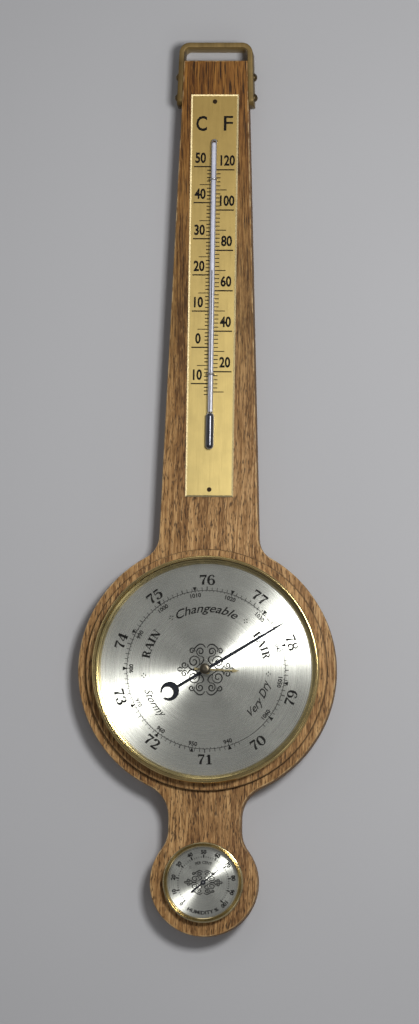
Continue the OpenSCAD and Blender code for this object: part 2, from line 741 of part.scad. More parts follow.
// Ripples on the capsule's faces
function ripple(r) = 0.45 * sin(r / (capsule_r - 2) * 360 * 3.5);
module aneroid_capsule() color("#c6c9cb") at_main(capsule_x, capsule_up) {
    body_back = base_front + capsule_foot;
    body_front = body_back + capsule_h;
    middle = (body_back + body_front) / 2;
    turned() polygon(concat(
        [[0, base_front], [capsule_foot_r, base_front], [capsule_foot_r, body_back + 0.6]],
        [for (i = [6:24]) let (r = i / 25 * (capsule_r - 1.5)) [r, body_back + 0.6 - ripple(r)]],
        [[capsule_r - 1.2, body_back + 0.8], [capsule_r - 0.8, middle - capsule_rim_h / 2],
         [capsule_r, middle - capsule_rim_h / 2], [capsule_r, middle + capsule_rim_h / 2],
         [capsule_r - 0.8, middle + capsule_rim_h / 2], [capsule_r - 1.2, body_front - 0.8]],
        [for (i = [24:-1:6]) let (r = i / 25 * (capsule_r - 1.5)) [r, body_front - 0.6 + ripple(r)]],
        [[capsule_boss_r, body_front - 0.6], [capsule_boss_r, leaf_back - 0.02], [capsule_pin_r, leaf_back - 0.02],
         [capsule_pin_r, leaf_front + nut_h + 0.4], [0, leaf_front + nut_h + 0.4]]
    ));
}

module capsule_nut() color("#a08a4e") at_main(capsule_x, capsule_up) difference() {
    upright(leaf_front, leaf_front + nut_h) circle(r = nut_r, $fn = 6);
    rod(capsule_pin_r + fit, leaf_front - 1, leaf_front + 3);
}

// The two screws that hold the mainspring, from the block's middle
spring_screw_r = 1;
spring_screw_x = 2;
module at_spring_screws() {
    for (side = [-1, 1]) translate([spring_screw_x, 0, side * spring_w * 0.3]) children();
}

// The mainspring's profile in x and level
leaf_tip_x = capsule_x + 5;
bow_level = block_front + spring_t + leaf_gap / 2;
module mainspring() color("#6f7680") translate([0, 0, main_z + capsule_up]) difference() {
    translate([0, 0, -spring_w / 2]) linear_extrude(spring_w) polygon(concat(
        [[block_mid_x + block_len / 2, -block_front], [block_mid_x + block_len / 2, -block_front - spring_t]],
        arc(-bow_x, -bow_level, leaf_gap / 2, 90, 270, 12),
        [[leaf_tip_x, -leaf_back], [leaf_tip_x, -leaf_front]],
        arc(-bow_x, -bow_level, leaf_gap / 2 + spring_t, 270, 90, 12)
    ));
    translate([capsule_x, 0, 0]) rod(capsule_pin_r + fit, leaf_back - 1, leaf_front + 1);
    translate([block_mid_x, 0, 0]) at_spring_screws()
        rod(spring_screw_r + fit, block_front - 1, block_front + spring_t + 0.5);
}

module spring_block() color("#a08a4e") at_main(block_mid_x, capsule_up) difference() {
    translate([-block_len / 2, -block_front, -spring_w / 2]) cube([block_len, block_h, spring_w]);
    rod(adjuster_r + run, base_front - 1, block_front - 1.5);
    at_spring_screws() rod(spring_screw_r + fit, block_front - 4, block_front + 1);
}

module spring_screws() color("#8c8a84") at_main(block_mid_x, capsule_up) at_spring_screws() difference() {
    union() {
        rod(spring_screw_r, block_front - 3.9, block_front + spring_t + 0.2);
        rod(spring_screw_r + 0.7, block_front + spring_t + 0.02, block_front + spring_t + 0.8);
    }
    translate([0, -block_front - spring_t - 0.8, 0]) cube([0.4, 0.6, 5], center = true);
}

lever_back_x = capsule_x - 6;
lever_tip_x = shaft_x + crank_r;
ear_up = link_t / 2 + 0.03;
rivet_r = 0.45;
link_top = leaf_front - 1.6;

// The lever's folded ear at its tip takes the link's rivet
module main_lever() color("#b9a060") at_main(0, capsule_up) difference() {
    union() {
        upright(leaf_front, lever_front) polygon([
            [lever_back_x, -lever_w / 2], [leaf_tip_x + 3, -lever_w / 2], [lever_tip_x + 1.2, -lever_tip_w / 2],
            [lever_tip_x + 1.2, lever_tip_w / 2], [leaf_tip_x + 3, lever_w / 2], [lever_back_x, lever_w / 2]
        ]);
        translate([lever_tip_x - 1.2, -leaf_front - 0.2, ear_up]) cube([2.4, 3.2, link_t]);
    }
    translate([capsule_x, 0, 0]) rod(nut_r + 0.7, leaf_front - 1, lever_front + 1);
    translate([lever_tip_x, -link_top, 0]) cylinder(r = rivet_r + fit, h = 3);
}

// The link's lower eye is a slot, so that the crank can swing in it
eye_slack = 0.45;
module connecting_link() color("#8d9096") at_main(lever_tip_x, capsule_up) {
    difference() {
        translate([0, 0, -link_t / 2]) linear_extrude(link_t) polygon([
            [-0.6, -link_top - 1], [0.6, -link_top - 1], [0.9, -link_top], [0.6, -link_top + 0.9],
            [0.6, -shaft_level - 1.2], [1.6, -shaft_level - 0.5], [1.6, -shaft_level + 0.6], [0.8, -shaft_level + 1.2],
            [-1.2, -shaft_level + 1.1], [-1.5, -shaft_level + 0.5], [-1.5, -shaft_level - 0.5], [-0.6, -shaft_level - 1.2],
            [-0.6, -link_top + 0.9], [-0.9, -link_top]
        ]);
        translate([-eye_slack - 0.1, -shaft_level, 0]) {
            translate([0, 0, -1]) cylinder(r = pin_of_crank_r + 0.12, h = 2);
            translate([0, -pin_of_crank_r - 0.1, -1]) cube([eye_slack + 0.2, 2 * pin_of_crank_r + 0.2, 2]);
            translate([eye_slack + 0.2, 0, -1]) cylinder(r = pin_of_crank_r + 0.12, h = 2);
        }
    }
    translate([0, -link_top, link_t / 2 - 0.1]) cylinder(r = rivet_r, h = link_t + 0.3);
}

module rocking_shaft() color("#9aa0a8") at_main(shaft_x) translate([0, -shaft_level, 0]) {
    end_play = 0.1;
    crank_z = capsule_up - link_t / 2 - 0.4;
    translate([0, 0, shaft_low_up + end_play]) cylinder(r = shaft_r, h = shaft_high_up - shaft_low_up - 2 * end_play);
    translate([0, 0, shaft_low_up - shaft_cock_t + 0.1])
        cylinder(r = shaft_pivot_r, h = shaft_high_up - shaft_low_up + 2 * shaft_cock_t - 0.2);
    translate([0, -0.9, crank_z - 1]) cube([crank_r + 0.8, 1.8, 1]);
    translate([crank_r, 0, crank_z - 0.2]) cylinder(r = pin_of_crank_r, h = link_t + 1);
    translate([-0.6, -arm_len - 0.9, chain_up - 0.5]) cube([1.2, arm_len + 0.9, 1]);
    translate([0, 0, chain_up - 1]) cylinder(r = shaft_r + 0.8, h = 2);
}

module shaft_cocks() color("#b9a060") at_main(shaft_x) {
    for (z = [shaft_low_up - shaft_cock_t, shaft_high_up]) difference() {
        union() {
            translate([-3, -base_front - shaft_h - 2.4, z]) cube([6, shaft_h + 2.4, shaft_cock_t]);
            translate([-4.5, -base_front - 1.2, z]) cube([9, 1.2, shaft_cock_t]);
        }
        translate([0, -shaft_level, z - 1]) cylinder(r = shaft_pivot_r + run, h = shaft_cock_t + 2);
    }
}

// The chain's links alternate between one plate and a pair of plates, joined by rivets
chain_run = shaft_x - 0.6;
chain_links = floor(chain_run / chain_pitch);
chain_step = chain_run / chain_links;
chain_layer = 0.28;
module pull_chain() color("#55595f") at_main(chain_run, chain_up) {
    for (i = [0:chain_links - 1], layer = i % 2 == 0 ? [0] : [-1, 1])
        translate([-(i + 0.5) * chain_step, -chain_level - layer * chain_layer, 0]) link_plate(i == 0 ? 0 : 0.3);
    for (i = [1:chain_links - 1])
        translate([-i * chain_step, 0, 0]) rod(0.17, chain_level - 1.7 * chain_layer, chain_level + 1.7 * chain_layer);
}

module link_plate(past) {
    half = chain_step / 2;
    tall = chain_h / 2;
    rotate([90, 0, 0]) translate([0, 0, -0.13]) linear_extrude(0.26) polygon([
        [-half - 0.3, -tall * 0.5], [-half, -tall], [0, -tall * 0.7], [half, -tall], [half + past, -tall * 0.5],
        [half + past, tall * 0.5], [half, tall], [0, tall * 0.7], [-half, tall], [-half - 0.3, tall * 0.5]
    ]);
}

pivot_r = 0.5;
collet_back = cock_front + 0.4;
hair_back = cock_front + 0.7;
hair_w = 1;
collet_front = hair_back + hair_w + 0.4;

module pointer_arbor() color("#9aa0a8") at_main() turned() polygon([
    [0, cock_back + 0.1], [pivot_r, cock_back + 0.1], [pivot_r, cock_front + 0.1], [arbor_r, cock_front + 0.1],
    [arbor_r, collet_back], [hair_in_r - 0.3, collet_back], [hair_in_r - 0.3, collet_front], [drum_r, collet_front],
    [drum_r, chain_level - 1.2], [drum_r + 0.9, chain_level - 1.2], [drum_r + 0.9, chain_level - 0.9],
    [drum_r, chain_level - 0.9], [drum_r, chain_level + 0.7], [drum_r + 0.9, chain_level + 0.7],
    [drum_r + 0.9, chain_level + 0.9], [arbor_r, chain_level + 0.9], [arbor_r, hand_level + boss_h + 0.1],
    [arbor_r - 0.3, hand_level + boss_h + 0.3], [0, hand_level + boss_h + 0.3]
]);

cock_low_up = -8;
cock_high_up = pillar_up + pillar_pitch + pillar_r + 1;

module at_pillars() {
    for (i = [0, 1]) translate([0, 0, pillar_up + i * pillar_pitch]) children();
}

module cock(back) {
    half = cock_w / 2;
    upright(back, back + cock_t) polygon(concat(
        arc(0, cock_low_up + half, half, 180, 360, 12),
        [[half, cock_high_up - 2], [half - 2, cock_high_up], [2 - half, cock_high_up], [-half, cock_high_up - 2]]
    ));
}

cock_screw_r = 1;

module lower_cock() color("#b9a060") at_main() difference() {
    cock(cock_back);
    rod(pivot_r + run, cock_back - 1, cock_front + 1);
    at_pillars() rod(cock_screw_r + fit, cock_back - 1, cock_front + 1);
    translate([0, 0, hair_stud_up]) rod(stud_r + fit, cock_back - 1, cock_front + 1);
}

module upper_cock() color("#b9a060") at_main() difference() {
    cock(upper_back);
    rod(arbor_r + run, upper_back - 1, upper_front + 1);
    at_pillars() rod(cock_screw_r + fit, upper_back - 1, upper_front + 1);
}

module cock_pillars() color("#a08a4e") at_main() at_pillars() difference() {
    union() {
        rod(pillar_r, base_front, cock_back);
        rod(pillar_r, cock_front, upper_back);
    }
    rod(cock_screw_r + fit, cock_back - 4, upper_back + 1);
}

module cock_screws() color("#8c8a84") at_main() at_pillars() difference() {
    union() {
        rod(cock_screw_r, cock_back - 3.9, upper_front + 0.1);
        rod(2, upper_front + 0.02, upper_front + 0.6);
    }
    translate([0, -upper_front - 0.6, 0]) cube([5, 0.5, 0.4], center = true);
}

// Points of a flat spiral strip between two radii
function strip_point(t, r, turns, start) = [r * cos(start + 360 * turns * t), r * sin(start + 360 * turns * t)];
function strip(r_in, r_out, turns, thick, start) = let (n = 20 * turns, grow = r_out - r_in) concat(
    [for (i = [0:n]) strip_point(i / n, r_in + grow * i / n + thick / 2, turns, start)],
    [for (i = [n:-1:0]) strip_point(i / n, r_in + grow * i / n - thick / 2, turns, start)]
);

stud_r = 0.6;
hair_stud_up = hair_out_r + hair_t / 2 + stud_r + 0.03;

module hairspring() color("#5a6f9c") at_main() upright(hair_back, hair_back + hair_w)
    polygon(strip(hair_in_r - 0.3 + hair_t / 2 + 0.02, hair_out_r, hair_turns, hair_t, 90));

module hairspring_stud() color("#b9a060") at_main(0, hair_stud_up) rod(stud_r, cock_back, hair_back + hair_w + 0.3);

module adjusting_screw() color("#b08d4a") at_main(block_mid_x, capsule_up) difference() {
    rod(adjuster_r, case_back - 0.6, block_front - 1.8);
    translate([0, -case_back + 0.6, 0]) cube([3 * adjuster_r, 1.4, 0.7], center = true);
}

// The hygrometer
vent_pcr = 12;
vent_r = 2;

module hygro_case() color("#a8a69c") at_small() difference() {
    turned() polygon([
        [0, small_case_back], [small_case_r - 0.8, small_case_back], [small_case_r, small_case_back + 0.8],
        [small_case_r, board_t], [small_inner_r, board_t], [small_inner_r, small_flange_front],
        [small_case_r - small_sheet, small_flange_front], [small_case_r - small_sheet, small_case_back + small_sheet],
        [0, small_case_back + small_sheet]
    ]);
    for (i = [0:5]) translate([vent_pcr * sin(60 * i), 0, vent_pcr * cos(60 * i)])
        rod(vent_r, small_case_back - 1, small_case_back + small_sheet + 1);
}

bush_r = 1.3;

module hygro_dial() color("#cfcdc4") at_small() pipe(small_inner_r, bush_r + fit, small_flange_front, small_dial_front);

module hygro_spacer() color("#c9a24a") at_small() turned() polygon([
    [small_view_r + 0.1, small_dial_front], [small_inner_r, small_dial_front], [small_inner_r, small_glass_back],
    [small_inner_r - 0.7, small_glass_back]
]);

module hygro_bezel() color("#cda64e") at_small() turned() polygon(concat(
    [[small_in_r, small_glass_front + 0.02], [small_in_r, board_t], [small_bezel_r, board_t]],
    [[small_bezel_r, small_bezel_front - 2.4], [small_bezel_r - 0.35, small_bezel_front - 2.1],
     [small_bezel_r - 0.35, small_bezel_front - 1.7]],
    arc(small_bezel_r - 1.25, small_bezel_front - 0.9, 0.9, 0, 90, 6),
    [[small_view_r, small_glass_front + 0.3], [small_view_r, small_glass_front + 0.02]]
));

module hygro_glass() color("#e8f0f0", 0.3) at_small() rod(small_inner_r, small_glass_back, small_glass_front);

module hygro_hand() color("#23262d") at_small() clockwise(small_hand_at) difference() {
    union() {
        upright(small_hand_level, small_hand_level + 0.3) polygon([
            [-0.45, 0], [-0.3, small_hand_len - 3], [0, small_hand_len], [0.3, small_hand_len - 3], [0.45, 0],
            [0.6, -small_hand_tail], [-0.6, -small_hand_tail]
        ]);
        rod(small_boss_r, small_hand_level - 0.2, small_hand_level + 0.6);
    }
    rod(small_arbor_r - 0.09, small_hand_level - 1, small_hand_level + 2);
}

module hygro_arbor() color("#9aa0a8") at_small() turned() polygon([
    [0, bridge_back + 0.1], [small_pivot_r, bridge_back + 0.1], [small_pivot_r, bridge_back + bridge_t + 0.1],
    [small_arbor_r, bridge_back + bridge_t + 0.1], [small_arbor_r, coil_back - 0.4], [small_collet_r, coil_back - 0.4],
    [small_collet_r, coil_back + coil_w + 0.4], [small_arbor_r, coil_back + coil_w + 0.4],
    [small_arbor_r, small_hand_level - 0.25], [small_arbor_r - 0.1, small_hand_level - 0.25],
    [small_arbor_r - 0.1, small_hand_level + 0.7], [0, small_hand_level + 0.7]
]);

module hygro_bush() color("#b9a060") at_small() difference() {
    union() {
        rod(bush_r, small_flange_front - 0.1, small_dial_front + 0.2);
        rod(bush_r + 0.8, small_flange_front - 0.8, small_flange_front - 0.01);
    }
    rod(small_arbor_r + run, small_flange_front - 2, small_dial_front + 2);
}

// A bracket whose two feet hold it to the back of the dial
bridge_half = 12;
bridge_w = 6;
bridge_foot = 5.5;
module hygro_bridge() color("#b9a060") at_small() difference() {
    translate([0, 0, -bridge_w / 2]) linear_extrude(bridge_w) polygon(symmetric([
        [bridge_half + bridge_t, -bridge_back], [bridge_half + bridge_t, -small_flange_front + bridge_t],
        [bridge_half + bridge_foot, -small_flange_front + bridge_t], [bridge_half + bridge_foot, -small_flange_front],
        [bridge_half, -small_flange_front], [bridge_half, -bridge_back - bridge_t]
    ]));
    rod(small_pivot_r + run, bridge_back - 1, bridge_back + bridge_t + 1);
    translate([post_x, 0, 0]) rod(post_r - 0.2 + fit, bridge_back - 1, bridge_back + bridge_t + 1);
}

module hygro_coil() color("#c2a878") at_small() upright(coil_back, coil_back + coil_w)
    polygon(strip(small_collet_r + coil_t / 2 + 0.02, coil_out_r, coil_turns, coil_t, 0));

module hygro_post() color("#b9a060") at_small(post_x) {
    rod(post_r - 0.2, bridge_back, bridge_back + bridge_t + 0.2);
    rod(post_r, bridge_back + bridge_t, coil_back + coil_w + 0.3);
}

backboard();
dial_ring();
hanging_strap();
strap_screws();
thermometer_plate();
plate_pins();
thermometer_tube();
thermometer_fill();
tube_staples();
movement_case();
case_screws();
dial_plate();
sight_ring();
bezel();
dial_glass();
reading_hand();
set_hand();
set_knob();
knob_washer();
base_plate();
base_screws();
aneroid_capsule();
capsule_nut();
mainspring();
spring_block();
spring_screws();
main_lever();
connecting_link();
rocking_shaft();
shaft_cocks();
pull_chain();
pointer_arbor();
lower_cock();
upper_cock();
cock_pillars();
cock_screws();
hairspring();
hairspring_stud();
adjusting_screw();
hygro_case();
hygro_dial();
hygro_spacer();
hygro_bezel();
hygro_glass();
hygro_hand();
hygro_arbor();
hygro_bush();
hygro_bridge();
hygro_coil();
hygro_post();
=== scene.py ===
import math

import bmesh
import bpy
import numpy as np
from mathutils import Matrix, Vector
from mathutils.geometry import tessellate_polygon


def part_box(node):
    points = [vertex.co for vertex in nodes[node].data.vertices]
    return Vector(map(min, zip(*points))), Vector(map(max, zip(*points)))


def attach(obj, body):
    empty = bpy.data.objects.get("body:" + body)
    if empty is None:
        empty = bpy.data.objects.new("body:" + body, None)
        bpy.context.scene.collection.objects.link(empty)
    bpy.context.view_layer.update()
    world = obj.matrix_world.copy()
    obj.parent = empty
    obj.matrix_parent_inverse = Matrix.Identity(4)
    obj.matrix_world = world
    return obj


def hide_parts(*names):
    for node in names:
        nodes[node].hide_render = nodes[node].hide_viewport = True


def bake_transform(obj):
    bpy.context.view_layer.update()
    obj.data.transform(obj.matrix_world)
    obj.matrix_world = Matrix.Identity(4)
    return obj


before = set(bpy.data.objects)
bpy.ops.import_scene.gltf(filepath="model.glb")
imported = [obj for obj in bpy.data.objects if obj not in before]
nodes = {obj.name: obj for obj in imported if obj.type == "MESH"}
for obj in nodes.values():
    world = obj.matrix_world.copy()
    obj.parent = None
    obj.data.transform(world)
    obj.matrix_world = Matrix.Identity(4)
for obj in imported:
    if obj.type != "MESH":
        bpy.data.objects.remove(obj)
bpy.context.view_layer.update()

# Sizes are in mm, and meshes are written in metres. A level is a distance in front of the wall: y is -level.
mm = 0.001
print("frame loaded:", len(nodes), "nodes")


def nodeSpan(name):
    # lowest and highest corner of a CAD node, in mm
    low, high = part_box(name)
    return np.array(low) / mm, np.array(high) / mm


def nodeCentre(name):
    # the point half way between those corners
    low, high = nodeSpan(name)
    return (low + high) / 2


mainZ = nodeCentre("dial_plate")[2]
smallZ = nodeCentre("hygro_dial")[2]
weld = 1e-7   # points of a piece that are closer than this, in metres, become one
inkHeight, inkRoot = 0.025, 0.01   # how far printing stands off its face and goes into it


def gridFaces(rows, columns, closeRows=False, closeColumns=True):
    # quads between the neighbours of a grid, joined end to end where it closes
    index = np.arange(rows * columns).reshape(rows, columns)
    if closeRows:
        index = np.vstack([index, index[:1]])
    if closeColumns:
        index = np.hstack([index, index[:, :1]])
    corners = [index[:-1, :-1], index[1:, :-1], index[1:, 1:], index[:-1, 1:]]
    return np.stack(corners, -1).reshape(-1, 4)


def tubeFaces(count, sides):
    # quads round and along a tube, and one face over each of its ends
    ends = [list(range(sides)), list(range(count * sides - 1, (count - 1) * sides - 1, -1))]
    return gridFaces(count, sides).tolist() + ends


def newObject(name, data):
    # puts a mesh, lamp, camera or line of text into the scene
    made = bpy.data.objects.new(name, data)
    bpy.context.scene.collection.objects.link(made)
    return made


def newMesh(name, points, faces):
    # a smooth mesh from points in mm
    mesh = bpy.data.meshes.new(name)
    mesh.from_pydata((points * mm).tolist(), [], faces)
    mesh.polygons.foreach_set("use_smooth", np.ones(len(mesh.polygons), bool))
    return mesh


def meshRows(items, key):
    # one row of three numbers for each point or face of a mesh
    values = np.zeros(len(items) * 3)
    items.foreach_get(key, values)
    return values.reshape(-1, 3)


def makePiece(name, parts, material, body="case", creaseAngle=32, merge=True):
    # parts is a list of (points, faces); a piece that bends between two bodies has body None
    points, faces, start = [], [], 0
    for partPoints, partFaces in parts:
        partPoints = np.asarray(partPoints, float).reshape(-1, 3)
        points.append(partPoints)
        if len(set(map(len, partFaces))) == 1:
            faces += (np.asarray(partFaces) + start).tolist()
        else:
            faces += [[corner + start for corner in face] for face in partFaces]
        start += len(partPoints)
    mesh = newMesh(name, np.vstack(points), faces)
    if merge:
        work = bmesh.new()
        work.from_mesh(mesh)
        bmesh.ops.remove_doubles(work, verts=work.verts, dist=weld)
        bmesh.ops.recalc_face_normals(work, faces=work.faces)
        work.to_mesh(mesh)
        work.free()
    mesh.set_sharp_from_angle(angle=math.radians(creaseAngle))
    mesh.materials.append(material)
    piece = newObject(name, mesh)
    if body:
        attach(piece, body)
    return piece


def turned(profile, centreZ, steps=192):
    # each [radius, level] of a closed profile goes once round an axis that faces the front
    radius, level = np.array(profile, float).T
    angle = np.linspace(0, 2 * np.pi, steps, endpoint=False)
    x = np.outer(radius, np.sin(angle))
    z = centreZ + np.outer(radius, np.cos(angle))
    y = np.repeat(-level[:, None], steps, 1)
    return np.stack([x, y, z], -1), gridFaces(len(radius), steps, closeRows=True)


def stepped(radius, level, steps):
    # corners of a profile, each some way outwards and forwards of one point
    return [[radius + outwards, level + forwards] for outwards, forwards in steps]


def arcPoints(x, y, radius, start, end, count):
    # points of an arc between two angles in degrees
    angle = np.radians(np.linspace(start, end, count + 1))
    return np.stack([x + radius * np.cos(angle), y + radius * np.sin(angle)], -1)


def circle(x, z, radius, steps):
    # an arc of 360 degrees without its second end
    return arcPoints(x, z, radius, 0, 360, steps)[:-1]


def unit(vectors):
    # each vector brought to a length of 1
    return vectors / np.maximum(np.linalg.norm(vectors, axis=1), 1e-9)[:, None]


def rightOf(vectors):
    # each flat vector turned clockwise by a right angle
    return np.stack([vectors[..., 1], -vectors[..., 0]], -1)


def insetLoop(loop, inset):
    # moves each corner of a counter-clockwise loop inwards along the mitre of its two sides
    before = rightOf(unit(loop - np.roll(loop, 1, 0)))
    after = rightOf(unit(np.roll(loop, -1, 0) - loop))
    mitre = (before + after) / (1 + (before * after).sum(1))[:, None]
    return loop - inset * mitre


def raised(loop, level):
    # a flat loop of (x, z) brought to one level
    return np.stack([loop[:, 0], np.full(len(loop), -float(level)), loop[:, 1]], -1)


def fillFaces(loops):
    # triangles between an outer loop and its holes
    return [list(face) for face in tessellate_polygon([[Vector((x, z, 0)) for x, z in loop] for loop in loops])]


def slab(outline, holes, back, front, frontRound, backRound, steps=4, frontDepth=None):
    # the outline is carried from the back to the front, drawn in by a quarter ellipse at each edge
    turn = np.radians(np.linspace(0, 90, steps + 1))
    depth = frontRound if frontDepth is None else frontDepth
    rows = [(backRound * (1 - np.sin(a)), back + backRound * (1 - np.cos(a))) for a in turn]
    rows += [(frontRound * (1 - np.cos(a)), front - depth * (1 - np.sin(a))) for a in turn]
    sides = np.stack([raised(insetLoop(outline, inset), level) for inset, level in rows])
    parts = [(sides, gridFaces(len(rows), len(outline)))]
    for inset, level in (rows[0], rows[-1]):
        loops = [insetLoop(outline, inset)] + holes
        parts.append((np.vstack([raised(loop, level) for loop in loops]), fillFaces(loops)))
    for hole in holes:
        parts.append((np.stack([raised(hole, back), raised(hole, front)]), gridFaces(2, len(hole))))
    return parts


def compass(angles):
    # unit vectors outwards and clockwise, at clockwise angles from the top
    out = np.stack([np.sin(angles), np.cos(angles)], -1)
    return out, rightOf(out)


def dialTicks(angles, inner, outer, width, centre, level):
    # one thin closed block for each clockwise angle, from the inner to the outer radius
    angles, inner, outer, width = np.broadcast_arrays(np.radians(np.asarray(angles, float)), inner, outer, width)
    out, side = compass(angles[:, None])
    along = np.stack([inner, outer, outer, inner], -1)[..., None]
    across = (np.array([-0.5, -0.5, 0.5, 0.5]) * width[:, None])[..., None]
    return blocks(out * along + side * across + centre, level)


def rulerTicks(heights, left, right, width, level):
    # one thin closed block for each height, from left to right
    heights, left, right, width = np.broadcast_arrays(np.asarray(heights, float), left, right, width)
    x = np.stack([left, right, right, left], -1)
    z = heights[:, None] + np.array([-0.5, -0.5, 0.5, 0.5]) * width[:, None]
    return blocks(np.stack([x, z], -1), level)


def blocks(flat, level):
    # lifts an array of flat four-cornered shapes off a face into closed blocks
    front = np.insert(flat, 1, -level - inkHeight, -1)
    back = np.insert(flat, 1, -level + inkRoot, -1)
    points = np.concatenate([front, back], 1).reshape(-1, 3)
    block = np.array([[0, 1, 2, 3], [7, 6, 5, 4], [0, 4, 5, 1], [1, 5, 6, 2], [2, 6, 7, 3], [3, 7, 4, 0]])
    return points, (block[None] + 8 * np.arange(len(flat))[:, None, None]).reshape(-1, 4)


def ribbon(path, widths, level):
    # a line of changing width: its sides stand half a width from the path, square to it
    side = rightOf(unit(np.gradient(path, axis=0))) * widths[:, None] / 2
    left, right = path + side, path - side
    front, back = level + inkHeight, level - inkRoot
    corners = [raised(left, front), raised(right, front), raised(right, back), raised(left, back)]
    return np.stack(corners, 1).reshape(-1, 3), tubeFaces(len(path), 4)


def smoothPath(points, count):
    # a curve through the points, from the cubic that passes two neighbours with their mean slopes
    points = np.asarray(points, float)
    padded = np.vstack([2 * points[0] - points[1], points, 2 * points[-1] - points[-2]])
    t = np.linspace(0, 1, count, endpoint=False)[None, :, None]
    a, b, c, d = (padded[i:len(padded) - 3 + i][:, None] for i in range(4))
    curve = 0.5 * (2 * b + (c - a) * t + (2 * a - 5 * b + 4 * c - d) * t ** 2 + (3 * b - a - 3 * c + d) * t ** 3)
    return np.vstack([curve.reshape(-1, points.shape[1]), points[-1:]])


def lettering(text, height, squeeze=1.0, lean=0.0, weight=0.0):
    # a line of the built-in typeface about x = 0, at a height of capitals: flat points, depth and faces
    curve = bpy.data.curves.new("letters", "FONT")
    curve.body = text
    curve.align_x = "CENTER"
    curve.resolution_u = 3
    curve.extrude = 0.5
    curve.offset = weight
    writer = newObject("letters", curve)
    bpy.context.view_layer.update()
    mesh = bpy.data.meshes.new_from_object(writer.evaluated_get(bpy.context.evaluated_depsgraph_get()))
    points = meshRows(mesh.vertices, "co")
    faces = [list(face.vertices) for face in mesh.polygons]
    bpy.data.objects.remove(writer)
    bpy.data.curves.remove(curve)
    bpy.data.meshes.remove(mesh)
    scale = height / capitalHeight
    x = points[:, 0] * scale * squeeze + points[:, 1] * scale * lean
    return np.stack([x - (x.max() + x.min()) / 2, points[:, 1] * scale], -1), points[:, 2], faces


capitalHeight = 1.0
sample = lettering("H", 1.0)[0][:, 1]
capitalHeight = sample.max() - sample.min()


def bendRound(flat, angle, radius, centre, inward=False):
    # length along the line becomes an angle and height a change of radius; inward turns its top to the centre
    sign = -1 if inward else 1
    turn = math.radians(angle) + sign * flat[:, 0] / radius
    reach = radius + sign * flat[:, 1]
    return np.stack([centre[0] + reach * np.sin(turn), centre[1] + reach * np.cos(turn)], -1)


def lifted(flat, depth, level):
    # the letters' back goes into the face and their front stands off it
    return np.stack([flat[:, 0], np.where(depth > 0, -level - inkHeight, -level + inkRoot), flat[:, 1]], -1)


def straightText(text, x, z, level, height, **style):
    # x is the middle of the line, and z the foot of its letters
    flat, depth, faces = lettering(text, height, **style)
    return lifted(flat + [x, z], depth, level), faces


def archedText(text, angle, radius, centre, level, height, inward=False, **style):
    # the line's middle stands at a clockwise angle from the top, and the middle of its height at the radius
    flat, depth, faces = lettering(text, height, **style)
    bent = bendRound(flat - [0, height / 2], angle, radius, centre, inward)
    return lifted(bent, depth, level), faces


hairline = 7   # width of a serifed stroke at a point that gives none


def dash(left, right, height=3):
    # a level hairline
    return [(left, height), (right, height)]


def stem(x, width=21):
    # an upright stroke from foot to top
    return [(x, 0, width), (x, 100, width)]


# Serifed figures and capitals in hundredths of their height: the advance, then strokes of (x, y, width).
serif = {
    "0": (68, [(30, 100), (9, 80, 15), (5, 50, 20), (9, 20, 15), (30, 0), (51, 20, 15), (55, 50, 20), (51, 80, 15),
               (30, 100)]),
    "1": (60, stem(30), [(30, 95, 9), (8, 80, 6)], dash(8, 52)),
    "2": (68, [(12, 74, 20), (12, 86, 16), (30, 99, 8), (50, 86, 17), (50, 66, 18), (34, 38, 11), (8, 7)],
          [(5, 7, 15), (58, 7, 15)], [(58, 5), (60, 28, 5)]),
    "3": (68, [(12, 76, 20), (13, 90, 12), (30, 100), (49, 88, 16), (48, 66, 16), (26, 54)],
          [(26, 54), (49, 46, 15), (55, 26, 20), (46, 6, 14), (28, 0), (11, 8, 12), (12, 22, 20)]),
    "4": (70, [(40, 98), (3, 30)], dash(3, 64, 27), [(42, 100, 20), (42, 0, 20)], dash(24, 60)),
    "5": (68, [(10, 92, 15), (52, 94, 13)], [(10, 96), (8, 54, 6)],
          [(8, 54, 6), (30, 63, 8), (51, 50, 17), (55, 30, 20), (46, 8, 14), (28, 0), (11, 8, 12), (12, 22, 20)]),
    "6": (68, [(50, 82, 17), (44, 96, 8), (30, 100), (12, 82, 14), (6, 50, 20), (10, 18, 15), (30, 0), (51, 14, 15),
               (54, 32, 19), (47, 52, 13), (30, 60), (10, 46, 6)]),
    "7": (68, [(4, 93, 15), (58, 93, 15)], [(6, 98), (4, 70, 5)], [(56, 92), (40, 62, 10), (29, 30, 17), (27, 0, 20)]),
    "8": (68, [(30, 100), (13, 90, 13), (13, 68, 16), (30, 54, 12), (50, 40, 16), (52, 14, 17), (30, 0), (8, 14, 15),
               (8, 38, 13), (30, 54, 10), (47, 68, 12), (47, 90, 12), (30, 100)]),
    "A": (84, [(6, 0), (38, 100)], [(40, 100, 20), (70, 0, 20)], dash(16, 60, 33), dash(-4, 20), dash(52, 86)),
    "F": (74, stem(20), dash(3, 63, 97), [(63, 100, 8), (65, 72, 5)], dash(20, 46, 52), [(46, 64, 6), (46, 40, 6)],
          dash(3, 40)),
    "I": (44, stem(20), dash(2, 38, 97), dash(2, 38)),
    "N": (88, stem(16, hairline), [(14, 97, 20), (66, 3, 20)], stem(68, hairline), dash(2, 30), dash(2, 20, 97),
          dash(54, 82, 97)),
    "R": (80, stem(20), dash(3, 34, 97), dash(3, 38), [(24, 97, 8), (46, 93, 12), (56, 74, 19), (44, 55, 11), (24, 51)],
          [(36, 51, 10), (50, 38, 18), (56, 12, 18), (70, 2)]),
}
serif["9"] = (68, [(60 - x, 100 - y, *width) for x, y, *width in serif["6"][1]])   # a 6 upside down
serifBearing = 4   # space before the first letter, less the space after the last


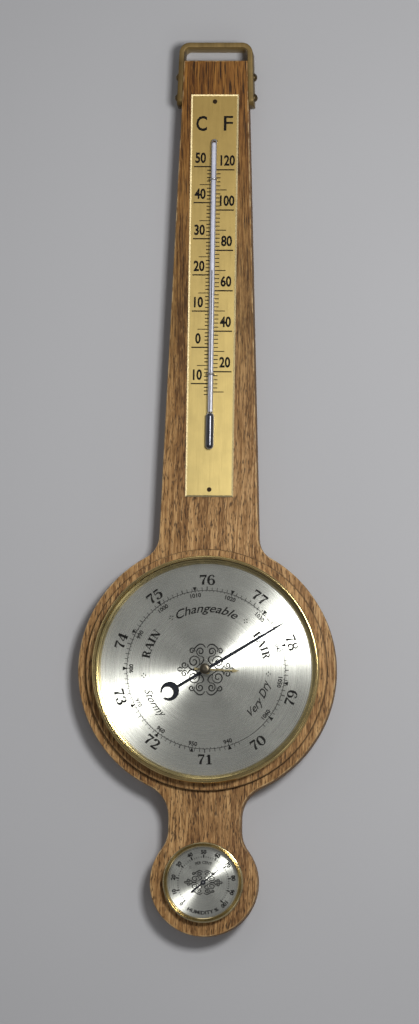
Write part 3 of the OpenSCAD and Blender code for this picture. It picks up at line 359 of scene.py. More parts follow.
def serifText(text, angle, radius, centre, level, height, inward, squeeze, weight):
    # the strokes of each letter, moved on by the letters before it, bent round the dial and given their widths
    parts, at = [], -sum(serif[letter][0] for letter in text) / 2 + serifBearing
    for letter in text:
        advance, *strokes = serif[letter]
        for stroke in strokes:
            path = np.array([(*point, hairline)[:3] for point in stroke]) / 100
            if len(path) > 2:
                path = smoothPath(path, 4)
            flat = (path[:, :2] + [at / 100, -0.5]) * [height * squeeze, height]
            parts.append(ribbon(bendRound(flat, angle, radius, centre, inward), path[:, 2] * height * weight, level))
        at += advance
    return parts


# One quarter of the scrollwork: volutes as (x, z, start angle, turns, outer and inner radius), and stems.
scroll = {
    "volutes": [(8.2, 4.9, 215, -1.55, 4.2, 0.7), (3.9, 11.2, 250, 1.5, 3.0, 0.6), (14.6, 2.7, 160, 1.4, 2.3, 0.5),
                (9.6, 11.6, 200, -1.3, 2.0, 0.5)],
    "stems": [[(4.8, 2.5), (2.4, 4.4), (1.5, 6.6), (2.9, 8.4)], [(4.8, 2.5), (8.4, 0.2), (11.2, 0.9), (12.4, 3.5)],
              [(0.5, 13.6), (2.2, 15.4), (4.8, 15.6), (7.7, 13.2), (7.7, 10.9)],
              [(16.0, 0.5), (17.6, 1.2), (19.4, 0.2)]],
    "points": 30, "thin": 0.55, "swell": 0.75,
}


def scrollwork(centre, level, wide, high, line):
    # spirals whose radius falls evenly with the angle, joined by curved stems and mirrored both ways
    parts = []
    paths = [smoothPath(curve, 6) for curve in scroll["stems"]]
    for x, z, start, turns, outer, inner in scroll["volutes"]:
        angle = np.radians(start) + 2 * np.pi * turns * np.linspace(0, 1, scroll["points"])
        reach = np.linspace(outer, inner, scroll["points"])
        paths.append(np.stack([x + reach * np.cos(angle), z + reach * np.sin(angle)], -1))
    for path in paths:
        swell = line * (scroll["thin"] + scroll["swell"] * np.sin(np.linspace(0.2, 2.9, len(path))))
        for mirror in ((1, 1), (-1, 1), (1, -1), (-1, -1)):
            parts.append(ribbon(path * mirror * [wide, high] + centre, swell, level))
    return parts


def isSocket(value):
    return isinstance(value, bpy.types.NodeSocket)


def setInputs(node, inputs):
    # an input gets a link from another node's output, or else a number or colour of its own
    for key, value in inputs.items():
        socket = node.inputs[key]
        if isSocket(value):
            node.id_data.links.new(value, socket)
        else:
            socket.default_value = (*value, 1) if socket.type == "RGBA" else value


def addNode(kind, inputs, output=0, tree=None, **settings):
    # one output of a new shader node, in the tree that its inputs come from where none is given
    tree = tree or next(value.id_data for value in inputs.values() if isSocket(value))
    made = tree.nodes.new("ShaderNode" + kind)
    for key, value in settings.items():
        setattr(made, key, value)
    setInputs(made, inputs)
    return made.outputs[output]


def newMaterial(name):
    # a material with its tree, its shader and the position on the object
    material = bpy.data.materials.new(name)
    material.use_nodes = True
    tree = material.node_tree
    return material, tree, tree.nodes["Principled BSDF"], addNode("TexCoord", {}, "Object", tree)


def axes(vector):
    # x, y and z of a vector
    return addNode("SeparateXYZ", {0: vector}).node.outputs


def reopen(material):
    # shader, x, y and z, and the colour so far of a material that gets one more layer
    tree = material.node_tree
    shader = tree.nodes["Principled BSDF"]
    return shader, axes(addNode("TexCoord", {}, "Object", tree)), shader.inputs["Base Color"].links[0].from_socket


def noise(vector, scale, detail=2.0, roughness=0.5, squeeze=None):
    # even noise, or drawn out along the axes whose squeeze is below 1
    if squeeze:
        vector = addNode("Mapping", {"Vector": vector, "Scale": squeeze})
    return addNode("TexNoise", {"Vector": vector, "Scale": scale, "Detail": detail, "Roughness": roughness})


def ramp(factor, stops):
    # colours or grey levels at their positions, with an even change between them
    made = addNode("ValToRGB", {"Fac": factor})
    points = made.node.color_ramp.elements
    while len(points) < len(stops):
        points.new(0.5)
    for point, (position, colour) in zip(points, stops):
        point.position = position
        point.color = (*colour, 1) if isinstance(colour, tuple) else (colour, colour, colour, 1)
    return made


def between(value, low, high, atLow=0.0, atHigh=1.0):
    # an even change from atLow to atHigh while a coordinate goes from low to high, in mm
    ends = {"Value": value, "From Min": low * mm, "From Max": high * mm, "To Min": atLow, "To Max": atHigh}
    return addNode("MapRange", ends)


def math2(operation, first, second=0.0):
    # one step of arithmetic on numbers
    return addNode("Math", {0: first, 1: second}, operation=operation)


def times(first, second):
    return math2("MULTIPLY", first, second)


def vector2(operation, first, second=(0, 0, 0)):
    # one step of arithmetic on vectors
    output = "Value" if operation == "DISTANCE" else "Vector"
    return addNode("VectorMath", {0: first, 1: second}, output, operation=operation)


def blend(factor, first, second, mode="MIX"):
    # from the first colour to the second, or to their product, by a factor from 0 to 1
    return addNode("Mix", {0: factor, 6: first, 7: second}, 2, data_type="RGBA", blend_type=mode)


def bump(shader, height, strength, distance):
    # small relief, from a height that counts distance metres for 1
    relief = addNode("Bump", {"Height": height, "Strength": strength, "Distance": distance})
    setInputs(shader, {"Normal": relief})


def mixSurface(factor, first, second):
    # the material's surface becomes a mix of two shaders
    mixed = addNode("MixShader", {0: factor, 1: first, 2: second})
    setInputs(mixed.id_data.nodes["Material Output"], {"Surface": mixed})


oak = {
    "dark": (0.115, 0.052, 0.016), "mid": (0.255, 0.132, 0.045), "light": (0.45, 0.268, 0.110),
    "pore": (0.022, 0.010, 0.004), "bare": (0.52, 0.36, 0.18),
    # from the low end of the board to its top the colour is multiplied browner and darker
    "tints": [(0.0, (1, 1, 1)), (0.2, (0.84, 0.81, 0.75)), (0.5, (0.63, 0.60, 0.47)), (1.0, (0.62, 0.47, 0.22))],
    "lowEnd": -300, "topEnd": -30,
    # each layer of noise: its scale, detail and roughness, then its squeeze along x, y and z
    "layers": {
        "bands": (160, 3.0, 0.6, (1, 0.6, 0.03)), "grain": (1150, 4.0, 0.62, (1, 0.7, 0.05)),
        "longPores": (1050, 2.0, 0.55, (1, 0.8, 0.045)), "shortPores": (1550, 2.0, 0.55, (1, 0.8, 0.15)),
        "flecks": (1250, 2.0, 0.5, (1, 0.8, 0.14)), "patches": (230, 3.0, 0.6, (1, 1, 0.5)),
    },
    "bandShare": 0.35, "grainShare": 0.65, "poreStrength": 0.88, "wander": 0.018,
    # the painted shade round the ring's foot: its radius, the distances from it where it is full and gone, and its
    # strength
    "seamShade": 75.3, "seamHalf": (0.2, 0.7), "seamStrength": 0.55,
    "roughness": 0.55, "specular": 0.2, "relief": 0.00018,
}


def oakMaterial(name, offset):
    # fine grain and pores are noise drawn out along the board, over slow bands of lighter and darker wood
    material, tree, shader, place = newMaterial(name)
    placed = vector2("ADD", place, offset)
    wander = noise(placed, 14, squeeze=(1, 1, 0.35))
    bent = addNode("CombineXYZ", {"X": times(wander, oak["wander"])})
    placed = vector2("ADD", placed, bent)
    layer = {key: noise(placed, *look) for key, look in oak["layers"].items()}
    tone = math2("ADD", times(layer["bands"], oak["bandShare"]),
                 times(layer["grain"], oak["grainShare"]))
    wood = ramp(tone, [(0.39, oak["dark"]), (0.5, oak["mid"]), (0.61, oak["light"])])
    wood = blend(ramp(layer["flecks"], [(0.56, 0.0), (0.68, 0.55)]), wood, oak["light"])
    _, depth, height = axes(place)
    upper = between(height, oak["lowEnd"], oak["topEnd"])
    pores = blend(upper, ramp(layer["shortPores"], [(0.54, 0.0), (0.64, 0.9)]),
                  ramp(layer["longPores"], [(0.54, 0.0), (0.62, 1.0)]))
    wood = blend(times(pores, oak["poreStrength"]), wood, oak["pore"])
    wood = blend(1.0, wood, ramp(upper, oak["tints"]), "MULTIPLY")
    # painted shade along the joint round the ring's foot, on the front alone
    fromDial = vector2("DISTANCE", vector2("MULTIPLY", place, (1, 0, 1)), (0, 0, mainZ * mm))
    fromSeam = math2("ABSOLUTE", math2("SUBTRACT", fromDial, oak["seamShade"] * mm))
    seamShade = between(fromSeam, *oak["seamHalf"], oak["seamStrength"], 0.0)
    inFront = math2("LESS_THAN", depth, (1 - board["thickness"]) * mm)
    wood = blend(times(seamShade, inFront), wood, oak["pore"])
    # bare patches along the worn edges
    worn = addNode("Attribute", {}, "Fac", tree, attribute_name="worn")
    bare = times(worn, ramp(layer["patches"], [(0.45, 0.1), (0.62, 0.8)]))
    gloss = ramp(layer["grain"], [(0.3, oak["roughness"] + 0.12), (0.7, oak["roughness"] - 0.08)])
    setInputs(shader, {"Base Color": blend(bare, wood, oak["bare"]), "Roughness": gloss,
                       "Specular IOR Level": oak["specular"]})
    relief = math2("SUBTRACT", times(layer["grain"], 0.4), pores)
    bump(shader, relief, 0.5, oak["relief"])
    return material


rimMargin = 0.02   # mm at both ends of the arris that stay unworn


def wornRim(piece, low, high, amount=1.0):
    # amount on the points of the rounded arris, whose levels lie just inside low and high, and 0 elsewhere
    level = -meshRows(piece.data.vertices, "co")[:, 1] / mm
    worn = amount * ((level > low + rimMargin) & (level < high - rimMargin)).astype(np.float32)
    piece.data.attributes.new("worn", "FLOAT", "POINT").data.foreach_set("value", worn)


board = {
    "neckTopWidth": 40.2, "neckLowWidth": 61.0, "neckLowUp": 97.5, "neckUp": 385.4,
    "roundRadius": 80.5, "shoulderRadius": 16.0, "footRadius": 33.5, "pitch": 132.0,
    "waistWidth": 45.0, "waistRadius": 21.0, "thickness": 18.0,
    "frontRound": 0.9, "backRound": 0.5, "caseBore": 56.3, "smallBore": 20.8,
}


def neckLean(b):
    # the angle by which the neck's sides lean outwards on their way down
    return math.atan((b["neckLowWidth"] - b["neckTopWidth"]) / 2 / (b["neckUp"] - b["neckLowUp"]))


def boardOutline(b):
    # neck side, hollow shoulder, large round, two hollow curves at the waist and small round, then mirrored
    lean = neckLean(b)
    top = np.array([b["neckTopWidth"] / 2, b["neckUp"]])
    down = np.array([math.sin(lean), -math.cos(lean)])
    start = top + np.array([math.cos(lean), math.sin(lean)]) * b["shoulderRadius"]
    dot = start @ down
    run = -dot - math.sqrt(dot ** 2 - start @ start + (b["roundRadius"] + b["shoulderRadius"]) ** 2)
    shoulder = start + down * run
    shoulderEnd = math.degrees(math.atan2(shoulder[1], shoulder[0]))
    waistX = b["waistWidth"] / 2 + b["waistRadius"]
    high = -math.sqrt((b["roundRadius"] + b["waistRadius"]) ** 2 - waistX ** 2)
    low = -b["pitch"] + math.sqrt((b["footRadius"] + b["waistRadius"]) ** 2 - waistX ** 2)
    waistEnd = math.degrees(math.atan2(high, waistX))
    footStart = math.degrees(math.atan2(low + b["pitch"], waistX))
    right = np.vstack([
        top[None],
        arcPoints(*shoulder, b["shoulderRadius"], 180 + math.degrees(lean), 180 + shoulderEnd, 18),
        arcPoints(0, 0, b["roundRadius"], shoulderEnd, waistEnd, 90)[1:],
        arcPoints(waistX, high, b["waistRadius"], 180 + waistEnd, 180, 16)[1:],
        arcPoints(waistX, low, b["waistRadius"], 180, 180 + footStart, 16),
        arcPoints(0, -b["pitch"], b["footRadius"], footStart, -90, 50)[1:],
    ])
    left = right[-2::-1] * [-1, 1]
    return np.vstack([right, left])[::-1] + [0, mainZ]


def makeBoard():
    # the outline as a slab with the bores for the two cases
    bores = [circle(0, mainZ, board["caseBore"], 128), circle(0, smallZ, board["smallBore"], 72)]
    parts = slab(boardOutline(board), bores, 0, board["thickness"], board["frontRound"], board["backRound"])
    piece = makePiece("oak_board", parts, oakMaterial("oak board", (0, 0, 0)))
    wornRim(piece, board["thickness"] - board["frontRound"], board["thickness"])
    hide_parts("backboard")


ring = {"inner": 56.3, "outer": 75.3, "front": 22.0, "edge": 1.0, "foot": 1.0, "rise": 0.3,
        "groove": ((0, 0), (-0.35, 0.25), (0, 0.6)), "worn": 0.25, "grain": (0.31, 0.02, 0.17)}


def makeRing():
    # a flat ring with a rounded edge, and a small groove over its foot
    back, front, outer, edge = board["thickness"], ring["front"], ring["outer"], ring["edge"]
    rim = arcPoints(outer - edge, front - edge, edge, 0, 90, 8)
    profile = [[ring["inner"], front], [ring["inner"], back], *stepped(outer - ring["foot"], back, ring["groove"]),
               [outer, back + ring["foot"] + ring["rise"]], *rim.tolist()]
    piece = makePiece("turned_ring", [turned(profile, mainZ)], oakMaterial("oak ring", ring["grain"]))
    wornRim(piece, front - edge, front, ring["worn"])
    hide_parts("dial_ring")


makeBoard()
makeRing()
print("board and ring made")


brushed = {"brushedUp": (1, 1, 0.03), "brushedAcross": (0.03, 1, 1)}


def metalMaterial(name, colour, roughness, pattern="plain", centreZ=0.0, tarnish=0.25, anisotropy=0.0,
                  metallic=1.0, grain=900.0, depth=0.00003):
    # plain: even fine noise; brushed: noise drawn out along z or x; turned: fine rings about a dial's centre
    material, tree, shader, place = newMaterial(name)
    cloud = noise(place, 95, 3.0, 0.6)
    if pattern == "turned":
        fromCentre = vector2("SUBTRACT", place, (0, 0, centreZ * mm))
        x, y, z = axes(fromCentre)
        squares = [math2("POWER", part, 2.0) for part in (x, z)]
        reach = math2("SQRT", math2("ADD", *squares))
        fine = noise(addNode("CombineXYZ", {"X": reach, "Y": y}), grain * 2.2, 3.0, 0.6)
        around = vector2("NORMALIZE", vector2("CROSS_PRODUCT", (0, 1, 0), fromCentre))
        facing = addNode("NewGeometry", {}, "Normal", tree)
        setInputs(shader, {"Tangent": vector2("CROSS_PRODUCT", around, facing)})
    elif pattern in brushed:
        fine = noise(place, grain, 3.0, 0.6, brushed[pattern])
    else:
        fine = noise(place, grain, 4.0, 0.65)
    dull = tuple(part * (1 - tarnish) for part in colour)
    mixed = math2("ADD", times(cloud, 0.55), times(fine, 0.45))
    gloss = ramp(fine, [(0.3, min(roughness + 0.06, 1.0)), (0.7, max(roughness - 0.05, 0.03))])
    setInputs(shader, {"Base Color": ramp(mixed, [(0.38, dull), (0.6, colour)]), "Roughness": gloss,
                       "Metallic": metallic, "Anisotropic": anisotropy})
    bump(shader, fine, 0.35, depth)
    return material


def dressNodes(material, *names):
    # the same material on every slot of each CAD node
    for name in names:
        slots = nodes[name].data.materials
        if not slots:
            slots.append(material)
        for index in range(len(slots)):
            slots[index] = material


strap = {"thickness": 3.2, "back": 0.3, "front": 17.7, "bend": 6.5, "leg": 28.2, "gap": 8.3, "round": 0.35,
         # the last two colours on the next line are the painted shade multiplied onto the leg and the painted light
         # under the bar
         "corner": 2.1, "colour": (0.20, 0.134, 0.048), "dark": (0.62, 0.58, 0.50), "underLight": (0.42, 0.29, 0.09),
         "legShares": (0, 0.02, 0.04, 0.072, 0.12, 0.5),   # closer together at the foot's cut corners
         # where the painted shade on the leg and the painted light under the bar begin and are full
         "legShadeX": (-12, -20), "legShadeZ": (0, -10), "underLightX": (19.8, 19.0), "underLightY": (-17.3, -16.8),
         "underLightZ": (0.9, 0.3)}


def strapMaterial():
    # old brass, with painted shade low on the leg at -x and painted light on the underside of the bar
    material = metalMaterial("strap brass", strap["colour"], 0.48, "brushedUp", tarnish=0.35, grain=700.0,
                             metallic=0.5)
    shader, (x, y, z), colour = reopen(material)
    # painted shade low on the leg at -x
    shadedLeg = times(between(x, *strap["legShadeX"]), between(z, *strap["legShadeZ"]))
    colour = blend(shadedLeg, colour, blend(1.0, colour, strap["dark"], "MULTIPLY"))
    # painted light on the underside of the middle of the bar
    middle = between(math2("ABSOLUTE", x), *strap["underLightX"])
    under = times(middle, between(z, *strap["underLightZ"]))
    underLight = times(under, between(y, *strap["underLightY"]))
    setInputs(shader, {"Base Color": blend(underLight, colour, strap["underLight"]), "Specular IOR Level": 0.2})
    return material


def makeStrap():
    # a rounded strip is carried along the middle line of one leg, the top bar and the other leg
    lean = neckLean(board)
    half = strap["thickness"] / 2
    boardTop = -strap["gap"]

    def neckHalf(drop):
        return board["neckTopWidth"] / 2 + drop * math.tan(lean)

    bendZ = strap["thickness"] - strap["bend"]
    bendX = neckHalf(boardTop - bendZ) + (strap["thickness"] - strap["bend"]) / math.cos(lean)
    foot = np.array([neckHalf(strap["leg"]) + half / math.cos(lean), boardTop - strap["leg"]])
    bend = arcPoints(bendX, bendZ, strap["bend"] - half, math.degrees(lean), 90, 14)
    side = np.vstack([foot + (bend[0] - foot) * np.array(strap["legShares"])[:, None], bend])
    path = np.vstack([side, [[0, bend[-1, 1]]], side[::-1] * [-1, 1]])
    out = rightOf(unit(np.gradient(path, axis=0)))
    fromEnd = np.abs(path[:, 1] - foot[1])
    halfWidth = (strap["front"] - strap["back"]) / 2 - np.clip(strap["corner"] - fromEnd, 0, strap["corner"])
    # four points on each of the four rounded corners
    across, deep = np.repeat([[1, -1, -1, 1], [1, 1, -1, -1]], 4, 1)
    turn = np.radians(np.linspace(0, 90, 4) + 90 * np.arange(4)[:, None]).ravel()
    cross = (half - strap["round"]) * across + strap["round"] * np.cos(turn)
    flat = path[:, None] + out[:, None] * cross[None, :, None]
    level = (halfWidth[:, None] - strap["round"]) * deep + strap["round"] * np.sin(turn)
    level += (strap["front"] + strap["back"]) / 2
    points = np.stack([flat[..., 0], -level, flat[..., 1]], -1)
    piece = makePiece("bent_strap", [(points, tubeFaces(*points.shape[:2]))], strapMaterial(), creaseAngle=50)
    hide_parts("hanging_strap")


makeStrap()
print("strap made")


bezel = {"outer": 70.8, "inner": 69.8, "back": 22.0, "front": 30.1, "lip": 68.8, "glass": 29.02, "bead": 1.15,
         # steps of the foot from the outer back corner, of side and rim from the outer front, of the fall at the lip
         "foot": ((0, 0), (0, 1.0), (-0.25, 1.35)), "side": ((-0.25, -2.4),), "rim": ((-1.5, -0.42), (-1.62, -0.5)),
         "fall": ((0.12, -0.62), (0, -0.72)), "colour": (0.66, 0.50, 0.22), "roughness": 0.13}


def makeBezel():
    # a foot, a plain side, a bead round the front edge, and a lip that falls a little towards the glass
    b = bezel
    outer, back, front, bead = b["outer"], b["back"], b["front"], b["bead"]
    profile = [[b["inner"], b["glass"]], [b["inner"], back], *stepped(outer, back, b["foot"]),
               *stepped(outer, front, b["side"]), *arcPoints(outer - bead, front - bead, bead, -20, 100, 14).tolist(),
               *stepped(outer, front, b["rim"]), *stepped(b["lip"], front, b["fall"]), [b["lip"], b["glass"]]]
    material = metalMaterial("bezel brass", b["colour"], b["roughness"], "turned", mainZ, 0.3, 0.1)
    piece = makePiece("brass_bezel", [turned(profile, mainZ, 256)], material)
    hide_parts("bezel")


sight = {"view": 65.9, "top": 68.9, "outer": 69.7, "dial": 23.5, "front": 27.2, "clear": 0.01,
         # points of the face: steps from top and from view, with the share of the depth that they lie below the front
         "crest": ((-0.1, 0.24), (-0.4, 0.03), (-1.3, 0.12)), "slope": ((0.75, 0.23), (0.25, 0.7)), "shoulder": 0.3,
         "edge": 0.35, "colour": (0.62, 0.49, 0.22), "roughness": 0.16}


def makeSight():
    # a crest at the outside, an even slope, and a steep edge down to the dial at the view
    s = sight
    view, top, dial, front = s["view"], s["top"], s["dial"], s["front"]
    deep = front - dial
    face = stepped(top, 0, s["crest"]) + stepped(view, 0, s["slope"])
    face = [[radius, front - share * deep] for radius, share in face]
    face = smoothPath([*face, [view, dial + s["edge"]]], 5)
    profile = [[view, dial + s["clear"]], [s["outer"], dial + s["clear"]],
               [s["outer"], front - s["shoulder"] * deep], *face.tolist()]
    material = metalMaterial("sight brass", s["colour"], s["roughness"], "turned", mainZ, 0.35, 0.1)
    piece = makePiece("sloping_ring", [turned(profile, mainZ, 256)], material, creaseAngle=40)
    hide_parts("sight_ring")


smallBezel = {"outer": 25.0, "inner": 24.3, "back": 18.0, "front": 23.8, "view": 22.0, "glass": 23.02, "bead": 0.8,
              "foot": ((0, 0), (0, 0.8), (-0.2, 1.0)), "fall": ((0.1, -0.62), (0, -0.7)),
              # the first groove's start from the outer front corner, then its corners, and the step to the next
              "grooves": 3, "start": (1.0, 0.1), "groove": ((0, -0.1), (-0.12, -0.22), (-0.34, 0)),
              "next": (0.5, 0.16), "colour": (0.64, 0.53, 0.30), "roughness": 0.15}


def makeSmallBezel():
    # a foot, a bead, and three fine grooves, each a little lower than the one outside it
    s = smallBezel
    outer, back, front, view, bead = s["outer"], s["back"], s["front"], s["view"], s["bead"]
    grooves = [corner for i in range(s["grooves"]) for corner in stepped(
        outer - s["start"][0] - s["next"][0] * i, front - s["start"][1] - s["next"][1] * i, s["groove"])]
    profile = [[s["inner"], s["glass"]], [s["inner"], back], *stepped(outer, back, s["foot"]),
               *arcPoints(outer - bead, front - bead, bead, -10, 100, 10).tolist(), *grooves,
               *stepped(view, front, s["fall"]), [view, s["glass"]]]
    material = metalMaterial("small brass", s["colour"], s["roughness"], "turned", smallZ, 0.3, 0.1)
    piece = makePiece("small_bezel", [turned(profile, smallZ)], material)
    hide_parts("hygro_bezel")


makeBezel()
makeSight()
makeSmallBezel()
print("bezels made")


def glassMaterial(name, tint):
    # clear where it faces the light and mirror-like at a slant, on the faces that turn to the viewer
    material, tree, shader, place = newMaterial(name)
    tree.nodes.remove(shader)
    clear = addNode("BsdfTransparent", {"Color": tint}, tree=tree)
    smear = ramp(noise(place, 60, 3.0, 0.6), [(0.4, 0.02), (0.7, 0.06)])
    outer = math2("SUBTRACT", 1.0, addNode("NewGeometry", {}, "Backfacing", tree))
    mirror = times(addNode("Fresnel", {"IOR": 1.45}, tree=tree), outer)
    mixSurface(mirror, clear, addNode("BsdfGlossy", {"Roughness": smear}))
    return material


dressNodes(glassMaterial("clear glass", (0.985, 0.99, 0.985)), "dial_glass", "hygro_glass")

inkLook = {"deep": (0.003, 0.0025, 0.002), "worn": (0.010, 0.009, 0.008), "specular": 0.08}


def inkMaterial():
    # near black, with fine specks where it is thinner and a little glossier
    material, _, shader, place = newMaterial("printing ink")
    speck = noise(place, 2600, 3.0, 0.6)
    setInputs(shader, {"Base Color": ramp(speck, [(0.35, inkLook["deep"]), (0.75, inkLook["worn"])]),
                       "Roughness": ramp(speck, [(0.3, 0.7), (0.7, 0.5)]),
                       "Specular IOR Level": inkLook["specular"]})
    return material


ink = inkMaterial()


def makePrint(name, parts):
    # printing stays as loose closed blocks and letters
    piece = makePiece(name, parts, ink, merge=False, creaseAngle=30)


def graded(values, steps, sizes):
    # the size of the first step that divides a value, and the last size where none does
    return np.select([values % step == 0 for step in steps], sizes[:-1], sizes[-1])


starShares = (0.3, 0.65, 0.3)   # where a diamond starts and is widest, and half its width, as shares of its reach


def star(angle, radius, size, centre, level):
    # four small diamonds about one point, one of them outwards
    turn = math.radians(angle)
    middle = np.array([centre[0] + radius * math.sin(turn), centre[1] + radius * math.cos(turn)])
    out, side = compass(np.radians(90 * np.arange(4)) + turn)
    foot, widest, half = starShares
    tip, waist = out * widest * size, side * half * size
    return blocks(middle + np.stack([out * foot * size, tip + waist, out * size, tip - waist], 1), level)


dialPrint = {
    "ring": 49.4, "ringWidth": 0.32, "ringHeight": 0.02,
    # centimetres of mercury outside the ring: value at the top, degrees for one, then lengths and widths of ticks
    "cm": (76.0, 36.0), "cmTicks": (2.4, 2.1, 1.9), "cmLines": (0.55, 0.36), "cmMarks": (70.3, 79.71, 0.1),
    "mbar": (1013.25, 2.7), "mbarTicks": (1.1, 0.8), "mbarLine": 0.34, "mbarMarks": (938, 1062),   # millibars inside
    "cmNumbers": (70, 80), "mbarNumbers": (940, 1061, 10),
    "triangle": 2.5, "triangleFoot": 0.06,
    "numberRadius": 56.0, "numberHeight": 6.0, "numberSqueeze": 1.22, "numberWeight": 1.32,
    "mbarRadius": 46.7, "mbarHeight": 2.5, "mbarWeight": 0.03,
    # each word with its clockwise angle, height and squeeze
    "wordRadius": 38.4, "capitals": (("RAIN", 294, 4.8, 1.35), ("FAIR", 66, 4.8, 1.35)), "capitalWeight": 1.35,
    "sloped": (("Stormy", 236, 4.4, 1.0), ("Changeable", 0, 5.0, 1.2), ("Very Dry", 117, 4.6, 0.95)),
    "lean": 0.45, "slopedWeight": 0.012,
    "starRadius": 39.0, "starSize": 1.7, "stars": (264, 325.5, 38.7, 93.5), "scroll": (0.92, 1.0, 0.6),
}


def clockwise(value, top, turn):
    # degrees from the top, where turn is the angle for one
    return (value - top) * turn


def isLow(angle):
    # lettering in the dial's lower part has its top towards the centre
    return 100 < angle % 360 < 260


def mainDialPrint():
    # a ring with ticks on both sides, a triangle at each tenth millibar, numbers, words, stars and scrollwork
    p, level, centre = dialPrint, sight["dial"], (0, mainZ)
    r, half, back, front = p["ring"], p["ringWidth"] / 2, level - inkRoot, level + p["ringHeight"]
    parts = [turned([[r - half, back], [r + half, back], [r + half, front], [r - half, front]], mainZ)]
    cm = np.round(np.arange(*p["cmMarks"]), 1)
    tenth = np.round(cm * 10).astype(int)
    outer, width = r + graded(tenth, (10, 5), p["cmTicks"]), graded(tenth, (5,), p["cmLines"])
    parts.append(dialTicks(clockwise(cm, *p["cm"]), r, outer, width, centre, level))
    mbar = np.arange(*p["mbarMarks"])
    inner = r - graded(mbar, (5,), p["mbarTicks"])
    parts.append(dialTicks(clockwise(mbar, *p["mbar"]), inner, r, p["mbarLine"], centre, level))
    out, side = compass(np.radians(clockwise(np.arange(*p["mbarNumbers"]), *p["mbar"]))[:, None])
    along = np.array([0, 1, 1, 0])[:, None] * p["triangle"] + r
    across = np.array([-p["triangleFoot"], -0.5, 0.5, p["triangleFoot"]])[:, None] * p["triangle"]
    parts.append(blocks(out * along + side * across + centre, level))
    for value in range(*p["cmNumbers"]):
        angle = clockwise(value, *p["cm"]) % 360
        parts += serifText(str(value), angle, p["numberRadius"], centre, level, p["numberHeight"], isLow(angle),
                           p["numberSqueeze"], p["numberWeight"])
    for value in range(*p["mbarNumbers"]):
        angle = clockwise(value, *p["mbar"]) % 360
        parts.append(archedText(str(value), angle, p["mbarRadius"], centre, level, p["mbarHeight"], isLow(angle),
                                weight=p["mbarWeight"]))
    for text, angle, height, squeeze in p["capitals"]:
        parts += serifText(text, angle, p["wordRadius"], centre, level, height, False, squeeze, p["capitalWeight"])
    for text, angle, height, squeeze in p["sloped"]:
        parts.append(archedText(text, angle, p["wordRadius"], centre, level, height, isLow(angle), squeeze=squeeze,
                                lean=p["lean"], weight=p["slopedWeight"]))
    parts += [star(angle, p["starRadius"], p["starSize"], centre, level) for angle in p["stars"]]
    parts += scrollwork(centre, level, *p["scroll"])
    makePrint("dial_print", parts)


smallPrint = {
    "ring": 15.3, "ticks": (2.1, 1.0), "lines": (0.8, 0.34), "percent": (50, 2.7),
    "numberRadius": 18.9, "numberHeight": 2.3, "numberWeight": 0.05,
    # each word with its angle, radius, height, whether its top is towards the centre, squeeze and weight
    "words": (("HUMIDITY %", 180, 18.7, 2.1, True, 1.15, 0.035), ("PER CENT", 0, 12.4, 1.7, False, 0.95, 0.02)),
    "starRadius": 12.4, "starSize": 0.9, "stars": (-42, 42), "scroll": (0.62, 0.46, 0.46),
}


def smallDialPrint():
    # 0 to 100 over 270 degrees, with 50 at the top
    p, level, centre = smallPrint, -nodeSpan("hygro_dial")[0][1], (0, smallZ)
    percent = np.arange(0, 101, 2)
    outer, width = p["ring"] + graded(percent, (10,), p["ticks"]), graded(percent, (10,), p["lines"])
    parts = [dialTicks(clockwise(percent, *p["percent"]), p["ring"], outer, width, centre, level)]
    for value in range(0, 101, 10):
        parts.append(archedText(str(value), clockwise(value, *p["percent"]), p["numberRadius"], centre, level,
                                p["numberHeight"], weight=p["numberWeight"]))
    for text, angle, radius, height, inward, squeeze, weight in p["words"]:
        parts.append(archedText(text, angle, radius, centre, level, height, inward, squeeze=squeeze, weight=weight))
    parts += [star(angle, p["starRadius"], p["starSize"], centre, level) for angle in p["stars"]]
    parts += scrollwork(centre, level, *p["scroll"])
    makePrint("small_print", parts)


mainDialPrint()
smallDialPrint()
print("dials printed")


plate = {"width": 30.0, "height": 255.0, "top": -30.3, "back": 18.0, "front": 19.2, "bevel": 1.0, "bevelDepth": 0.7,
         "backRound": 0.05,
         "pinInset": 4.6, "pinHole": 1.45, "tubeHole": 1.95, "tubeTop": -60.6,
         # upper is multiplied into the colour towards the top as painted shade, from none at the first height to full
         # at the second
         "colour": (0.56, 0.43, 0.16), "upper": (0.70, 0.62, 0.50), "upperShadeZ": (-270, -40),
         "cutColour": (0.80, 0.65, 0.35), "cutFacing": (-0.99, -0.5),
         # letters over the scales, with x, height, squeeze and weight
         "letters": (("C", -8.2, 9.0, 0.8, 0.018), ("F", 8.7, 9.3, 1.14, 0.004)), "letterDrop": 23.1}


def goldMaterial():
    # satin lacquer, with painted shade that darkens it towards the top
    material = metalMaterial("gold plate", plate["colour"], 0.36, "brushedUp", tarnish=0.12, grain=1500.0,
                             metallic=0.7, depth=0.00002)
    shader, (_, _, z), colour = reopen(material)
    # painted shade towards the top
    upper = blend(1.0, colour, plate["upper"], "MULTIPLY")
    setInputs(shader, {"Base Color": blend(between(z, *plate["upperShadeZ"]), colour, upper)})
    return material


